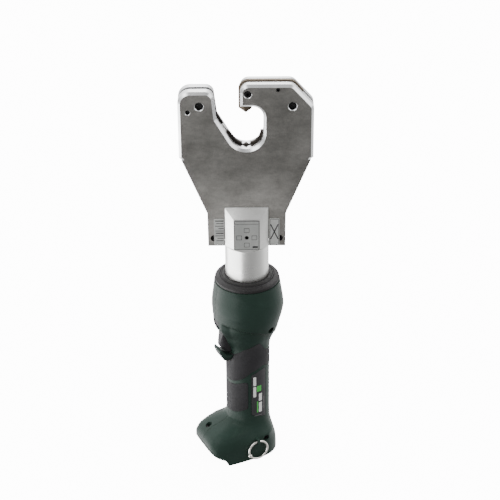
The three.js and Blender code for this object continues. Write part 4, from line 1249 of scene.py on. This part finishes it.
COLLAR_R = 32.2
COLLAR_EDGE = 205.5
COLLAR_PROFILE = rounded([
    (25.5, 198.5), (29.9, 198.5), (29.9, 202.8), (COLLAR_R, 202.8, 0.3),
    (COLLAR_R, COLLAR_EDGE, 0.5), (COLLAR_R - 0.7, COLLAR_EDGE + 0.9, 0.5), (27.6, 207.9, 0.3),
    (27.2, 207.3, 0.2), (26.7, 207.4, 0.2), (26.4, 208.4, 0.3), (25.5, 208.8, 0.2),
])
finish_piece(
    lathe(COLLAR_PROFILE, 144), "collar_moulded", "handle",
    "collar_plastic", ["collar_ring"],
)
WIPER_PROFILE = rounded([
    (22, 201), (25.2, 201), (25.2, 208.7, 0.4), (22.5, 209.6, 0.4), (22, 209.2, 0.2),
])
finish_piece(
    lathe(WIPER_PROFILE, 144), "wiper_moulded", "handle", "rubber", ["wiper_ring"],
)

# ---------- trigger and release button ----------

TRIGGER = [
    (19.2, 125), (26.4, 126, 2), (31, 129.2, 2.5), (33, 133.6, 2), (31, 141, 6),
    (29.4, 150.4, 1), (19.2, 150.4),
]
BUTTON = [(28.4, 153.4), (32.6, 153.4, 1.2), (34.3, 157.5, 3), (34.4, 162, 1.2), (28.4, 162)]


def crowned(reach, half, z0, z1):
    """Upright slab whose front is half an ellipse."""
    angles = [math.radians(-90 + 180 * i / 48) for i in range(49)]
    front = [(22 + reach * math.cos(a), half * math.sin(a)) for a in angles]
    return upright([(18, -half), *front, (18, half)], z0, z1)


trigger = tidy(common(prism(TRIGGER, -9, 9), crowned(11.1, TRIGGER_HALF, 120, 155)), 0.3)
finish_piece(
    bevel(trigger, 0.8, 3, 45), "trigger_moulded", "trigger",
    "trigger_plastic", ["trigger"], 30,
)
finish_piece(
    bevel(prism(BUTTON, -BUTTON_HALF, BUTTON_HALF), 1.4, 4, 40), "button_moulded",
    "release_button", "trigger_plastic", ["release_button"], 30,
)

# ---------- lanyard ring ----------

RING_WIRE = 1.15
BEAD = 2.2
BEAD_ANGLE = -26


def torus(radius, wire, sides=96, section=16):
    """Ring round the Y axis."""
    vertices, faces = [], []
    for i in range(sides):
        along = 2 * math.pi * i / sides
        for k in range(section):
            around = 2 * math.pi * k / section
            r = radius + wire * math.cos(around)
            vertices.append((r * math.cos(along), wire * math.sin(around), r * math.sin(along)))
            n, m = (i + 1) % sides, (k + 1) % section
            faces.append((i * section + k, i * section + m, n * section + m, n * section + k))
    return mesh_object("torus", vertices, faces)


def ball(radius, rows=16, sides=32):
    angles = [math.pi * i / rows for i in range(1, rows)]
    curve = [(radius * math.sin(a), -radius * math.cos(a)) for a in angles]
    return lathe([(0, -radius), *curve, (0, radius)], sides)


ring = torus(RING_R, RING_WIRE)
angle = math.radians(BEAD_ANGLE)
add(ring, shifted(ball(BEAD), RING_R * math.cos(angle), 0, RING_R * math.sin(angle)))
shifted(ring, RING_TOP[0], RING_TOP[1], RING_TOP[2] - RING_R)
finish_piece(
    ring, "ring_polished", "lanyard_ring", "polished_ring", ["lanyard_ring"], 50,
)

# ---------- materials of the CAD nodes that stay ----------

NODE_LOOKS = {
    "machined_steel": [
        "left_lever", "right_lever", "ram_plate", "swivel_clip", "swivel_plate", "motor",
        "planet_gear_1", "planet_gear_2", "planet_gear_3", "eccentric_bearing", "pump_body",
    ],
    "bright_steel": ["ram_piston", "motor_shaft", "eccentric_shaft", "pump_piston"],
    "spring_steel": ["return_spring"],
    "black_steel": ["gearbox_case", "trigger_switch"],
    "rubber": ["piston_seal", "oil_bladder"],
    "dark_plastic": ["terminal_block"],
    "brass": ["terminal_plus", "terminal_data", "terminal_minus"],
    "board": ["circuit_board"],
}
for look, names in NODE_LOOKS.items():
    for name in names:
        mesh = frame["nodes"][name].data
        mesh.materials.clear()
        mesh.materials.append(MATERIALS[look])

# ---------- floor, light and camera ----------

FLOOR_HALF = 3
FLOOR_GLOW = 12.0
# Brightness of the surroundings by direction: from straight down to straight up, from
# far left to far right and from the front to the back, as steps of (place, value).
SKY = [(0.0, 0.3), (0.26, 0.66), (0.48, 0.4), (0.7, 0.9), (1.0, 0.7)]
SIDE_GLOW = [(0.0, 1.6), (0.42, 1.1), (0.62, 0.75), (1.0, 1.2)]
BACK_GLOW = [(0.0, 0.8), (0.4, 1.0), (0.65, 2.2), (1.0, 3.2)]


def floor():
    """White floor that only the camera sees: it isn't mirrored and casts no shade."""
    corners = [(-1, -1), (1, -1), (1, 1), (-1, 1)]
    corners = [(FLOOR_HALF * x, FLOOR_HALF * y, 0) for x, y in corners]
    sheet = mesh_object("floor", corners, [(0, 1, 2, 3)])
    sheet.location.z = GROUND
    material = bpy.data.materials.new("floor")
    material.use_nodes = True
    shader = material.node_tree.nodes["Principled BSDF"]
    shader.inputs["Base Color"].default_value = (0.92, 0.92, 0.92, 1)
    shader.inputs["Roughness"].default_value = 0.9
    shader.inputs["Emission Color"].default_value = (1, 1, 1, 1)
    shader.inputs["Emission Strength"].default_value = FLOOR_GLOW
    sheet.data.materials.append(material)
    sheet.visible_diffuse = False
    sheet.visible_glossy = False
    sheet.visible_shadow = False


def area_light(name, location, target, size, power):
    light = bpy.data.lights.new(name, "AREA")
    light.shape = "RECTANGLE"
    light.size, light.size_y = size
    light.energy = power
    lamp = bpy.data.objects.new(name, light)
    bpy.context.scene.collection.objects.link(lamp)
    lamp.location = location
    lamp.rotation_euler = (Vector(target) - Vector(location)).to_track_quat("-Z", "Y").to_euler()
    return lamp


def glow_along(tree, part, steps):
    """Brightness by one part of the direction looked in, from steps of (place, value)."""
    nodes, links = tree.nodes, tree.links
    place = ranged(tree, part, -1, 1)
    top = max(value for _, value in steps)
    ramp = nodes.new("ShaderNodeValToRGB")
    while len(ramp.color_ramp.elements) < len(steps):
        ramp.color_ramp.elements.new(0.5)
    for element, (position, value) in zip(ramp.color_ramp.elements, steps):
        element.position = position
        element.color = (value / top, value / top, value / top, 1)
    links.new(place.outputs["Result"], ramp.inputs["Fac"])
    return ramp.outputs["Color"], top


def world():
    """The surroundings that light the tool and are mirrored in it."""
    sky = bpy.data.worlds.new("studio")
    sky.use_nodes = True
    tree = sky.node_tree
    nodes, links = tree.nodes, tree.links
    place = nodes.new("ShaderNodeTexCoord")
    parts = nodes.new("ShaderNodeSeparateXYZ")
    links.new(place.outputs["Generated"], parts.inputs["Vector"])
    colour, strength = glow_along(tree, parts.outputs["Z"], SKY)
    for part, steps in (("X", SIDE_GLOW), ("Y", BACK_GLOW)):
        other, top = glow_along(tree, parts.outputs[part], steps)
        colour = multiplied(tree, colour, other)
        strength *= top
    links.new(colour, nodes["Background"].inputs["Color"])
    nodes["Background"].inputs["Strength"].default_value = strength
    bpy.context.scene.world = sky


EYE = (0.0031, -1.2925, 0.9517)
FOCAL_LENGTH, SENSOR = 108, 36
LOOK_DOWN = 29.5
ROLL = -0.35


def camera():
    lens = bpy.data.cameras.new("camera")
    lens.lens = FOCAL_LENGTH
    lens.sensor_width = SENSOR
    lens.clip_start, lens.clip_end = 0.01, 20
    eye = bpy.data.objects.new("camera", lens)
    bpy.context.scene.collection.objects.link(eye)
    eye.location = EYE
    pitch = turn(90 - LOOK_DOWN, "X")
    eye.rotation_euler = (pitch @ turn(ROLL, "Z")).to_euler()
    bpy.context.scene.camera = eye


floor()
world()
area_light("key", (-1.2, -1.0, 1.6), (0, 0, 0.2), (1.2, 1.2), 14)
# Below the floor on the left: only the shiny surfaces that face down to it show it.
area_light("low", (-0.76, -0.2, -0.22), (0, 0, 0.22), (1.5, 0.6), 14).visible_diffuse = False
area_light("fill", (1.4, -0.6, 1.0), (0, 0, 0.2), (1.0, 1.4), 7)
area_light("back", (0.3, 1.4, 1.5), (0, 0, 0.25), (1.4, 0.8), 12)
camera()
